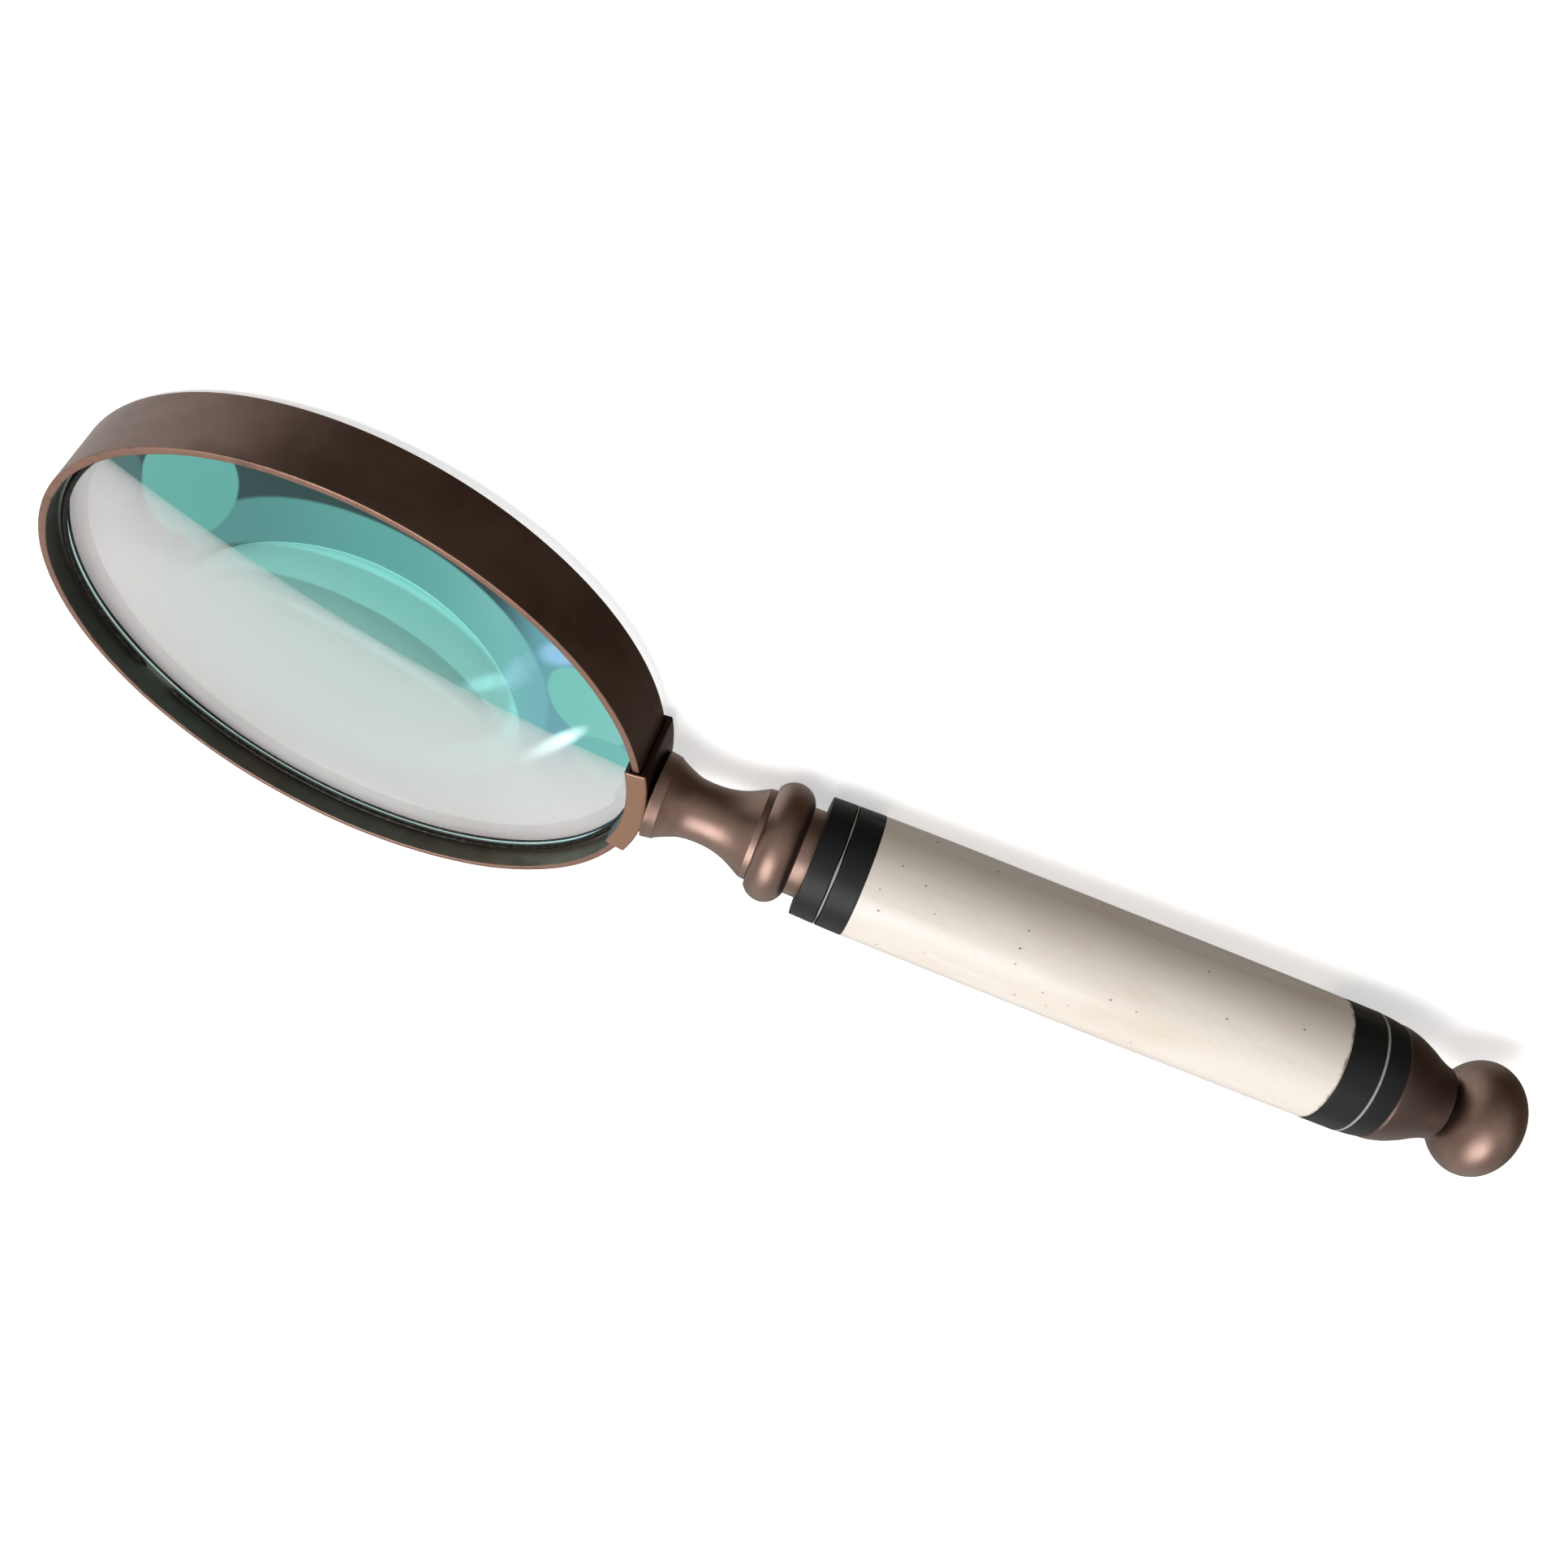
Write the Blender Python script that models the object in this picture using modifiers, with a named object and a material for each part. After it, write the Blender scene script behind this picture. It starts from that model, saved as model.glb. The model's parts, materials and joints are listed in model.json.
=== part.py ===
"""Hand magnifying glass: a lens in a flat brass hoop, on a turned neck with a bone and horn handle.

The glass is modelled flat in its own frame: the lens's axis is Z, with the face that is looked through
up, and the handle runs along -X. A parent empty then lays it down as it rests on a table, on the
hoop's far edge and on the neck's bead, with the middle of its footprint at the world's origin.

Turned pieces are outlines of (station, radius) in millimetres. A station is the distance from the
lens's axis, measured along the handle.
"""

import math

import bmesh
import bpy
from mathutils import Matrix, Vector

MM = 0.001

# Hoop: a strip of brass rolled into a circle. Its width runs along Z, half to each side of the middle.
HOOP_RADIUS = 50.8
HOOP_WALL = 1.25
HOOP_WIDTH = 11.2
HOOP_EDGE = 0.25
HOOP_JOINT = 0.6
HOOP_INSIDE = HOOP_RADIUS - HOOP_WALL
HOOP_FACE = HOOP_WIDTH / 2

# Lens: two spherical faces, the front one the more curved, and a ground edge, set a little behind the
# hoop's middle.
LENS_RADIUS = HOOP_INSIDE - 0.35
LENS_FRONT_SPHERE = 200.0
LENS_BACK_SPHERE = 300.0
LENS_EDGE = 2.4
LENS_BEVEL = 0.4
LENS_MIDDLE = -0.3

# Spring wires that hold the lens, one on each face, each open at one place.
WIRE_RADIUS = 0.5
WIRE_GAP = 0.3
WIRE_OPENING = math.radians(7)

# Saddle: a channel over the hoop's joint, with a lip hooked over each edge of the hoop.
SADDLE_INSIDE = 48.4
SADDLE_OUTSIDE = 52.0
SADDLE_FACE = 6.2
SADDLE_HALF_ANGLE = math.radians(14.8)
SADDLE_OFF_CENTRE = math.radians(2.3)
SADDLE_LIP = 3.3
SADDLE_CLEARANCE = 0.1
SADDLE_ROUNDING = 0.35

# Handle: its axis lies above the hoop's middle plane. These are the stations where pieces meet.
HANDLE_RISE = 1.7
NECK_START = 52.15
COLLAR_END = 54.3
TRUMPET_END = 69.4
BEAD_START = 70.5
SPIGOT_END = 81.2
FRONT_COLLAR_START = 79.35
FRONT_SPACER_START = 83.4
BONE_START = 88.4
BONE_END = 169.1
REAR_SPACER_START = 174.8
SPACER = 0.4
CAP_START = 179.1
CAP_END = 189.4
STACK_GAP = 0.08

HORN_RADIUS = 10.25
BONE_RADIUS = 10.45
BONE_SWELL = 0.15
CAP_RADIUS = 9.9
CAP_END_RADIUS = 6.25

# Neck: the bead is an arc in the outline, and the spigot enters the first horn collar.
NECK_COLLAR_RADIUS = 7.4
BEAD_CENTRE = 73.7
BEAD_ROOT = 6.67
BEAD_ARC = 3.56
SPIGOT_RADIUS = 7.5
SPIGOT_SEAT = SPIGOT_RADIUS + 0.25
TENON_RADIUS = 2.4
TENON_END = 51.05
TENON_SEAT = TENON_RADIUS + 0.15

# Rod through the handle, and the nut and washer that clamp the pieces on it.
ROD_RADIUS = 2.5
BORE_RADIUS = ROD_RADIUS + 0.2
ROD_START = 66.0
ROD_END = 196.5
NECK_BORE_START = ROD_START - 1.5
NUT_ACROSS_FLATS = 8.0
NUT_HEIGHT = 3.2
WASHER_HEIGHT = 0.8
WASHER_RADIUS = 4.7
CAP_WELL_RADIUS = 5.1
CAP_WELL_START = 184.6
CORE_RADIUS = 6.0
CORE_CLEARANCE = 0.15
CORE_END_GAP = 0.3

# Ball: flattened along the handle.
BALL_CENTRE = 196.4
BALL_RADIUS = 9.77
BALL_HALF_LENGTH = 6.8
BALL_SEAT_RADIUS = 3.6
BALL_BORE_END = ROD_END + 1.0

HOOP_STEPS = 72
HANDLE_STEPS = 36
ROD_STEPS = 24

parts = bpy.data.collections.new("magnifying_glass")
cutters = bpy.data.collections.new("cutters")


def clear_scene():
    for thing in list(bpy.data.objects):
        bpy.data.objects.remove(thing, do_unlink=True)
    for collection in (parts, cutters):
        bpy.context.scene.collection.children.link(collection)


def finish(name, colour, roughness, metallic=0.0, transmission=0.0):
    """A plain material: the sub-part's own colour and gloss."""
    made = bpy.data.materials.new(name)
    made.use_nodes = True
    shader = made.node_tree.nodes["Principled BSDF"]
    shader.inputs["Base Color"].default_value = (*colour, 1.0)
    shader.inputs["Roughness"].default_value = roughness
    shader.inputs["Metallic"].default_value = metallic
    shader.inputs["Transmission Weight"].default_value = transmission
    return made


def empty(name, parent=None, location=(0.0, 0.0, 0.0), turn_y=0.0):
    made = bpy.data.objects.new(name, None)
    parts.objects.link(made)
    made.parent = parent
    made.location = [value * MM for value in location]
    made.rotation_euler = (0.0, turn_y, 0.0)
    return made


def add(name, mesh, parent, material):
    """A sub-part: one named object with its own material."""
    made = bpy.data.objects.new(name, mesh)
    parts.objects.link(made)
    made.parent = parent
    mesh.materials.append(material)
    return made


def make_cutter(name, mesh, parent):
    made = bpy.data.objects.new(name, mesh)
    cutters.objects.link(made)
    made.parent = parent
    made.hide_render = True
    made.display_type = "WIRE"
    return made


def cut(piece, cutter, name):
    boolean = piece.modifiers.new(name, "BOOLEAN")
    boolean.operation = "DIFFERENCE"
    boolean.object = cutter


def wire_mesh(name, points, closed):
    """Edges through points in a row, which a Screw modifier turns into a surface."""
    mesh = bpy.data.meshes.new(name)
    edges = [(i, i + 1) for i in range(len(points) - 1)]
    if closed:
        edges.append((len(points) - 1, 0))
    mesh.from_pydata([Vector(point) * MM for point in points], edges, [])
    return mesh


def turned(name, outline, parent, material, steps=HANDLE_STEPS, closed=False):
    """A turned piece about its parent's Z, from (station, radius) points in order of station.

    A closed outline comes back along the bore. An open one starts and ends on the axis. The order is
    reversed for the Screw modifier, which needs the outer side to run from top to bottom.
    """
    points = [(radius, 0.0, station) for station, radius in reversed(outline)]
    piece = add(name, wire_mesh(name, points, closed), parent, material)
    screw = piece.modifiers.new("turn", "SCREW")
    screw.axis = "Z"
    screw.steps = screw.render_steps = steps
    screw.use_merge_vertices = True
    screw.merge_threshold = 0.00001
    screw.use_smooth_shade = True
    return piece


def sleeve(name, outside, bore, parent, material):
    """A turned piece with a plain bore: outside is its outer outline."""
    outline = outside + [(outside[-1][0], bore), (outside[0][0], bore)]
    return turned(name, outline, parent, material, closed=True)


def arc(centre, root, radius, start, end, count):
    """Points on a circle in an outline, from one station to another over its top."""
    first = math.acos((start - centre) / radius)
    last = math.acos((end - centre) / radius)
    angles = [first + (last - first) * i / count for i in range(count + 1)]
    return [(centre + radius * math.cos(a), root + radius * math.sin(a)) for a in angles]


def flowing(points, count):
    """A Catmull-Rom curve through the points, with count spans between each two."""
    ends = [points[0], *points, points[-1]]
    curve = []
    for before, start, end, after in zip(ends, ends[1:], ends[2:], ends[3:]):
        for step in range(count):
            t = step / count
            curve.append(
                tuple(
                    0.5
                    * (
                        2 * b
                        + (c - a) * t
                        + (2 * a - 5 * b + 4 * c - d) * t**2
                        + (3 * b - a - 3 * c + d) * t**3
                    )
                    for a, b, c, d in zip(before, start, end, after)
                )
            )
    return [*curve, points[-1]]


def swept_block(name, corners, middle, half_angle, steps):
    """A closed block: a (radius, height) outline swept about Z, half_angle to each side of middle."""
    shape = bmesh.new()
    turn = Matrix.Rotation(middle - half_angle, 3, "Z")
    face = shape.faces.new(
        [shape.verts.new(turn @ Vector((radius, 0.0, height)) * MM) for radius, height in corners]
    )
    bmesh.ops.spin(
        shape,
        geom=[face, *face.edges, *face.verts],
        axis=(0.0, 0.0, 1.0),
        cent=(0.0, 0.0, 0.0),
        angle=2 * half_angle,
        steps=steps,
    )
    bmesh.ops.recalc_face_normals(shape, faces=shape.faces)
    mesh = bpy.data.meshes.new(name)
    shape.to_mesh(mesh)
    shape.free()
    return mesh


def primitive_mesh(name, operator, matrix, **sizes):
    """A mesh from one of bmesh's primitives."""
    shape = bmesh.new()
    operator(shape, matrix=matrix, **sizes)
    mesh = bpy.data.meshes.new(name)
    shape.to_mesh(mesh)
    shape.free()
    return mesh


def lens_face(sphere):
    """Points of one face from the axis out, as (height over the lens's middle, radius)."""
    sag = sphere - math.sqrt(sphere**2 - LENS_RADIUS**2)
    rings = 6
    face = []
    for ring in range(rings + 1):
        radius = (LENS_RADIUS - LENS_BEVEL) * ring / rings
        drop = sphere - math.sqrt(sphere**2 - radius**2)
        face.append((LENS_EDGE / 2 + sag - drop, radius))
    return face


def make_lens(frame, glass):
    edge = LENS_EDGE / 2 - LENS_BEVEL
    outline = [(LENS_MIDDLE - height, radius) for height, radius in lens_face(LENS_BACK_SPHERE)]
    outline += [(LENS_MIDDLE - edge, LENS_RADIUS), (LENS_MIDDLE + edge, LENS_RADIUS)]
    outline += [(LENS_MIDDLE + height, radius) for height, radius in reversed(lens_face(LENS_FRONT_SPHERE))]
    return turned("lens", outline, frame, glass, steps=HOOP_STEPS)


def make_hoop(frame, brass):
    """The strip, rolled round, with a narrow joint that the saddle covers."""
    inside = HOOP_INSIDE + HOOP_EDGE
    outside = HOOP_RADIUS - HOOP_EDGE
    side = HOOP_FACE - HOOP_EDGE
    outline = [
        (-HOOP_FACE, outside),
        (-side, HOOP_RADIUS),
        (side, HOOP_RADIUS),
        (HOOP_FACE, outside),
        (HOOP_FACE, inside),
        (side, HOOP_INSIDE),
        (-side, HOOP_INSIDE),
        (-HOOP_FACE, inside),
    ]
    hoop = turned("ring_band", outline, frame, brass, steps=HOOP_STEPS, closed=True)
    place = Matrix.Rotation(math.pi - SADDLE_OFF_CENTRE, 4, "Z") @ Matrix.Translation((HOOP_RADIUS * MM, 0, 0))
    size = Matrix.Diagonal((HOOP_WALL * 4 * MM, HOOP_JOINT * MM, HOOP_WIDTH * 2 * MM, 1.0))
    slit = primitive_mesh("hoop_joint", bmesh.ops.create_cube, place @ size, size=1.0)
    cut(hoop, make_cutter("hoop_joint_cutter", slit, frame), "joint")
    return hoop


def make_wire(name, frame, height, opening_at, steel):
    """A round wire sprung open against the hoop's inside, on a circle that stops short of closing."""
    curve = bpy.data.curves.new(name, "CURVE")
    curve.dimensions = "3D"
    curve.bevel_depth = WIRE_RADIUS * MM
    curve.bevel_resolution = 1
    curve.use_fill_caps = True
    spline = curve.splines.new("POLY")
    count = HOOP_STEPS - 8
    spline.points.add(count)
    radius = HOOP_INSIDE - WIRE_GAP - WIRE_RADIUS
    for index, point in enumerate(spline.points):
        angle = opening_at + WIRE_OPENING / 2 + (2 * math.pi - WIRE_OPENING) * index / count
        point.co = (radius * math.cos(angle) * MM, radius * math.sin(angle) * MM, height * MM, 1.0)
    return add(name, curve, frame, steel)


def make_saddle(frame, handle, brass):
    """A block round the joint, less the channel that the hoop slides in, the lens's room and a tenon seat."""
    corners = [
        (SADDLE_INSIDE, -SADDLE_FACE),
        (SADDLE_OUTSIDE, -SADDLE_FACE),
        (SADDLE_OUTSIDE, SADDLE_FACE),
        (SADDLE_INSIDE, SADDLE_FACE),
    ]
    middle = math.pi - SADDLE_OFF_CENTRE
    steps = 8
    mesh = swept_block("saddle", corners, middle, SADDLE_HALF_ANGLE, steps)
    saddle = add("saddle", mesh, frame, brass)
    rounding = saddle.modifiers.new("rounding", "BEVEL")
    rounding.width = SADDLE_ROUNDING * MM
    rounding.segments = 2
    rounding.limit_method = "ANGLE"

    channel = HOOP_FACE + SADDLE_CLEARANCE
    channel_corners = [
        (HOOP_INSIDE - SADDLE_CLEARANCE, -channel),
        (HOOP_RADIUS + SADDLE_CLEARANCE, -channel),
        (HOOP_RADIUS + SADDLE_CLEARANCE, channel),
        (HOOP_INSIDE - SADDLE_CLEARANCE, channel),
    ]
    room = SADDLE_FACE - SADDLE_LIP
    room_corners = [
        (SADDLE_INSIDE - 2.0, -room),
        (HOOP_INSIDE + HOOP_WALL / 2, -room),
        (HOOP_INSIDE + HOOP_WALL / 2, room),
        (SADDLE_INSIDE - 2.0, room),
    ]
    wide = SADDLE_HALF_ANGLE * (steps + 2) / steps
    for name, shape in (("hoop_channel", channel_corners), ("lens_room", room_corners)):
        swept = swept_block(name, shape, middle, wide, steps + 2)
        cut(saddle, make_cutter(name + "_cutter", swept, frame), name)
    seat = primitive_mesh(
        "tenon_seat",
        bmesh.ops.create_cone,
        Matrix.Translation((0.0, 0.0, SADDLE_OUTSIDE * MM)),
        segments=ROD_STEPS,
        radius1=TENON_SEAT * MM,
        radius2=TENON_SEAT * MM,
        depth=HOOP_WALL * 2 * MM,
        cap_ends=True,
    )
    cut(saddle, make_cutter("tenon_seat_cutter", seat, handle), "tenon_seat")
    return saddle


def make_neck(handle, brass):
    """Flat-ended collar, trumpet, bead and spigot, with a tenon in front and a blind bore behind."""
    trumpet = flowing(
        [
            (COLLAR_END, 7.0),
            (56.0, 6.12),
            (58.4, 5.26),
            (61.3, 5.08),
            (64.0, 5.38),
            (66.5, 6.17),
            (TRUMPET_END, 7.65),
        ],
        2,
    )
    bead_end = BEAD_CENTRE + math.sqrt(BEAD_ARC**2 - (SPIGOT_RADIUS - BEAD_ROOT) ** 2)
    outline = [
        (TENON_END, 0.0),
        (TENON_END, TENON_RADIUS),
        (NECK_START, TENON_RADIUS),
        (NECK_START, NECK_COLLAR_RADIUS - 0.15),
        (NECK_START + 0.15, NECK_COLLAR_RADIUS),
        (COLLAR_END, 7.1),
        *trumpet,
        (BEAD_START, 7.8),
        *arc(BEAD_CENTRE, BEAD_ROOT, BEAD_ARC, BEAD_START + 0.1, bead_end, 9),
        (SPIGOT_END, SPIGOT_RADIUS),
        (SPIGOT_END, BORE_RADIUS),
        (NECK_BORE_START, BORE_RADIUS),
        (NECK_BORE_START, 0.0),
    ]
    return turned("neck", outline, handle, brass)


def make_front_collars(handle, horn, pale):
    seat_end = SPIGOT_END + 0.2
    outer_end = FRONT_SPACER_START - STACK_GAP
    outline = [
        (FRONT_COLLAR_START, HORN_RADIUS - 0.2),
        (FRONT_COLLAR_START + 0.2, HORN_RADIUS),
        (outer_end, HORN_RADIUS + 0.1),
        (outer_end, BORE_RADIUS),
        (seat_end, BORE_RADIUS),
        (seat_end, SPIGOT_SEAT),
        (FRONT_COLLAR_START, SPIGOT_SEAT),
    ]
    turned("front_horn_collar_outer", outline, handle, horn, closed=True)
    spacer_end = FRONT_SPACER_START + SPACER
    radius = HORN_RADIUS + 0.1
    sleeve("front_spacer", [(FRONT_SPACER_START, radius), (spacer_end, radius)], BORE_RADIUS, handle, pale)
    inner = [(spacer_end + STACK_GAP, radius), (BONE_START - STACK_GAP, BONE_RADIUS)]
    sleeve("front_horn_collar_inner", inner, BORE_RADIUS, handle, horn)


def make_bone(handle, bone, wood):
    """The bone is hollow and swells a little in the middle: a wooden core fills it."""
    length = BONE_END - BONE_START
    spans = 6
    outside = []
    for step in range(spans + 1):
        share = step / spans
        outside.append((BONE_START + length * share, BONE_RADIUS + BONE_SWELL * math.sin(math.pi * share)))
    sleeve("bone_sleeve", outside, CORE_RADIUS + CORE_CLEARANCE, handle, bone)
    core = [(BONE_START + CORE_END_GAP, CORE_RADIUS), (BONE_END - CORE_END_GAP, CORE_RADIUS)]
    sleeve("bone_core", core, BORE_RADIUS, handle, wood)


def make_rear_collars(handle, horn, pale):
    radius = BONE_RADIUS - 0.05
    inner = [(BONE_END + STACK_GAP, BONE_RADIUS), (REAR_SPACER_START - STACK_GAP, radius)]
    sleeve("rear_horn_collar_inner", inner, BORE_RADIUS, handle, horn)
    spacer_end = REAR_SPACER_START + SPACER
    spacer = [(REAR_SPACER_START, radius), (spacer_end, radius - 0.02)]
    sleeve("rear_spacer", spacer, BORE_RADIUS, handle, pale)
    outer = [
        (spacer_end + STACK_GAP, radius - 0.05),
        (177.2, 10.2),
        (CAP_START - STACK_GAP, CAP_RADIUS),
    ]
    sleeve("rear_horn_collar_outer", outer, BORE_RADIUS, handle, horn)


def make_end_cap(handle, brass):
    """A bulge that narrows to a rim, with a well for the washer and nut."""
    slope = flowing([(182.9, 9.12), (184.9, 8.24), (186.9, 7.17), (188.4, 6.52), (CAP_END, CAP_END_RADIUS)], 2)
    outline = [
        (CAP_START, CAP_RADIUS - 0.25),
        (CAP_START + 0.3, CAP_RADIUS),
        (CAP_START + 1.4, CAP_RADIUS - 0.1),
        (CAP_START + 2.6, 9.5),
        *slope,
        (CAP_END, CAP_WELL_RADIUS),
        (CAP_WELL_START, CAP_WELL_RADIUS),
        (CAP_WELL_START, BORE_RADIUS),
        (CAP_START, BORE_RADIUS),
    ]
    turned("end_cap", outline, handle, brass, closed=True)


def make_rod(handle, steel):
    """The rod, and the washer and hexagonal nut in the end cap's well."""
    chamfer = 0.4
    outline = [
        (ROD_START, 0.0),
        (ROD_START, ROD_RADIUS - chamfer),
        (ROD_START + chamfer, ROD_RADIUS),
        (ROD_END - chamfer, ROD_RADIUS),
        (ROD_END, ROD_RADIUS - chamfer),
        (ROD_END, 0.0),
    ]
    turned("tie_rod", outline, handle, steel, steps=ROD_STEPS)
    washer_start = CAP_WELL_START + STACK_GAP
    washer_end = washer_start + WASHER_HEIGHT
    washer = [(washer_start, WASHER_RADIUS), (washer_end, WASHER_RADIUS)]
    sleeve("rod_washer", washer, BORE_RADIUS, handle, steel)
    nut_start = washer_end + STACK_GAP
    nut_middle = nut_start + NUT_HEIGHT / 2
    across_corners = NUT_ACROSS_FLATS / math.cos(math.radians(30))
    place = Matrix.Translation((0.0, 0.0, nut_middle * MM))
    shapes = []
    for name, segments, radius, height in (
        ("rod_nut", 6, across_corners / 2, NUT_HEIGHT),
        ("nut_bore", ROD_STEPS, BORE_RADIUS, NUT_HEIGHT * 2),
    ):
        sizes = {"radius1": radius * MM, "radius2": radius * MM, "depth": height * MM}
        cone = bmesh.ops.create_cone
        shapes.append(primitive_mesh(name, cone, place, segments=segments, cap_ends=True, **sizes))
    nut = add("rod_nut", shapes[0], handle, steel)
    cut(nut, make_cutter("nut_bore_cutter", shapes[1], handle), "bore")


def make_ball(finial, brass):
    """A flattened ball with a blind bore for the rod's end. Stations count from the end cap."""
    centre = BALL_CENTRE - CAP_END
    start = math.pi - math.asin(BALL_SEAT_RADIUS / BALL_RADIUS)
    count = 14
    ball = []
    for step in range(count):
        angle = start * (1 - step / count)
        ball.append((centre + BALL_HALF_LENGTH * math.cos(angle), BALL_RADIUS * math.sin(angle)))
    seat = STACK_GAP
    outline = [
        (seat, BORE_RADIUS),
        (seat, BALL_SEAT_RADIUS - 0.1),
        *ball,
        (centre + BALL_HALF_LENGTH, 0.0),
    ]
    bore_end = BALL_BORE_END - CAP_END
    outline = [(bore_end, 0.0), (bore_end, BORE_RADIUS), *outline]
    turned("ball_finial", outline, finial, brass)


def rest_tilt():
    """The angle at which the hoop's far edge and the neck's bead are equally low."""
    foot = BEAD_ROOT + BEAD_ARC - HANDLE_RISE
    return math.atan2(foot - HOOP_FACE, BEAD_CENTRE + HOOP_RADIUS)


def stand_on_origin(frame):
    """Moves the frame so that the object's box stands on the origin, centred over it."""
    bpy.context.view_layer.update()
    graph = bpy.context.evaluated_depsgraph_get()
    corners = []
    for piece in parts.objects:
        if piece.type == "EMPTY":
            continue
        evaluated = piece.evaluated_get(graph)
        mesh = evaluated.to_mesh()
        corners += [evaluated.matrix_world @ vertex.co for vertex in mesh.vertices]
        evaluated.to_mesh_clear()
    low = Vector([min(corner[axis] for corner in corners) for axis in range(3)])
    high = Vector([max(corner[axis] for corner in corners) for axis in range(3)])
    frame.location -= Vector(((low.x + high.x) / 2, (low.y + high.y) / 2, low.z))


def main():
    clear_scene()
    glass = finish("glass", (0.75, 0.9, 0.88), 0.02, transmission=1.0)
    brass = finish("patinated_brass", (0.16, 0.12, 0.105), 0.4, metallic=1.0)
    horn = finish("horn", (0.015, 0.018, 0.02), 0.25)
    bone = finish("bone", (0.82, 0.78, 0.7), 0.35)
    pale = finish("spacer_fibre", (0.6, 0.6, 0.58), 0.5)
    wood = finish("core_wood", (0.45, 0.3, 0.16), 0.7)
    steel = finish("steel", (0.45, 0.45, 0.44), 0.35, metallic=1.0)

    frame = empty("glass_frame", turn_y=rest_tilt())
    handle = empty("handle_axis", frame, (0.0, 0.0, HANDLE_RISE), -math.pi / 2)
    finial = empty("finial_axis", handle, (0.0, 0.0, CAP_END))

    make_lens(frame, glass)
    make_hoop(frame, brass)
    held = LENS_EDGE / 2 + WIRE_GAP + WIRE_RADIUS + 0.1
    make_wire("front_retaining_ring", frame, LENS_MIDDLE + held, math.radians(35), steel)
    make_wire("back_retaining_ring", frame, LENS_MIDDLE - held, math.radians(-35), steel)
    make_saddle(frame, handle, brass)
    make_neck(handle, brass)
    make_front_collars(handle, horn, pale)
    make_bone(handle, bone, wood)
    make_rear_collars(handle, horn, pale)
    make_end_cap(handle, brass)
    make_rod(handle, steel)
    make_ball(finial, brass)
    stand_on_origin(frame)


main()
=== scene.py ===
"""Looks for the hand magnifying glass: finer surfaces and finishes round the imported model.

The glass lies on a table, resting on its hoop and on the neck's bead. Two frames follow its pieces. In the
hoop's frame Z is the lens's axis and the handle runs along -X. In the handle's frame Z runs along the handle,
away from the lens, and a station is the distance from the lens's axis. Shapes are worked out in millimetres
in one of these two and then laid down in the world, so every finished object sits at the origin.
"""

import json
import logging
import math
from dataclasses import dataclass, field, replace
from enum import Enum
from typing import Any, Callable, Sequence

import bmesh
import bpy
import numpy as np
from mathutils import Matrix, Vector

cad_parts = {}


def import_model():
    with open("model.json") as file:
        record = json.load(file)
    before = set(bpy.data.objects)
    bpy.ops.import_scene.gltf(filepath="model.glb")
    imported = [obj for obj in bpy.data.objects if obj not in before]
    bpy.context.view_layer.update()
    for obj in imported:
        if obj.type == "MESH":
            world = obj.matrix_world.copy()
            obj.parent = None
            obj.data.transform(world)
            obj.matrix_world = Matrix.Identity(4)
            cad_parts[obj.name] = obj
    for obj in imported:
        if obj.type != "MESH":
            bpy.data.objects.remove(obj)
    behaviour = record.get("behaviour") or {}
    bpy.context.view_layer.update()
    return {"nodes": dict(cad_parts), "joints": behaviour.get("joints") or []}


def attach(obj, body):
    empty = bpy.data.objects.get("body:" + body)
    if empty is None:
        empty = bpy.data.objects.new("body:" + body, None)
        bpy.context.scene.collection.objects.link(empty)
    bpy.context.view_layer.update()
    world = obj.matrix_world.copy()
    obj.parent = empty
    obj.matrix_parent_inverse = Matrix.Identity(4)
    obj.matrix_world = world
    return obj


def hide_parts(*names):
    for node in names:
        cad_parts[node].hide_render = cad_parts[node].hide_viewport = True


MM = 0.001
# Height of the handle's axis over the hoop's middle, in millimetres, and the station of the handle's joint.
HANDLE_RISE = 1.7
JOINT_STATION = 80.0

log = logging.getLogger("magnifying_glass")


# ---------------------------------------------------------------------------------------------- frames


@dataclass(frozen=True)
class Place:
    """A frame that pieces are worked out in.

    Attributes:
        matrix: Turns millimetres in the frame into metres in the world.
        location: The frame's origin in the world, in metres.
        rotation: The frame's rotation in the world, as Euler angles.
    """

    matrix: np.ndarray
    location: Vector
    rotation: Any

    @classmethod
    def at(cls, location: Vector, turn: Matrix) -> "Place":
        """Makes the frame from its origin and its rotation.

        Args:
            location: Origin in the world, in metres.
            turn: 3 by 3 rotation.

        Returns:
            The frame.
        """
        whole = Matrix.Translation(location) @ turn.to_4x4() @ Matrix.Scale(MM, 4)
        return cls(np.array(whole), location, turn.to_euler())

    def axes(self) -> np.ndarray:
        """The frame's axes in the world, one to a column, each of length one."""
        return self.matrix[:3, :3] / MM

    def to_world(self, points: np.ndarray) -> np.ndarray:
        """Carries points, in millimetres along the last axis, into the world in metres."""
        return points @ self.matrix[:3, :3].T + self.matrix[:3, 3]


def find_places(joint: dict[str, Any]) -> tuple[Place, Place]:
    """Finds the hoop's and the handle's frames from the joint that the handle turns on.

    Args:
        joint: The row of the record for the handle's joint.

    Returns:
        The hoop's frame and the handle's.
    """
    along = Vector(joint["axis"]).normalized()
    across = Vector((0.0, 1.0, 0.0))
    upright = across.cross(along)
    up = upright if upright.z > 0 else -upright
    hoop_turn = Matrix((-along, across, up)).transposed()
    lens_axis = Vector(joint["pos_m"]) - along * JOINT_STATION * MM
    hoop = Place.at(lens_axis - up * HANDLE_RISE * MM, hoop_turn)
    handle_turn = hoop_turn @ Matrix.Rotation(-math.pi / 2, 3, "Y")
    return hoop, Place.at(lens_axis, handle_turn)


# -------------------------------------------------------------------------------------------- surfaces


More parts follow.
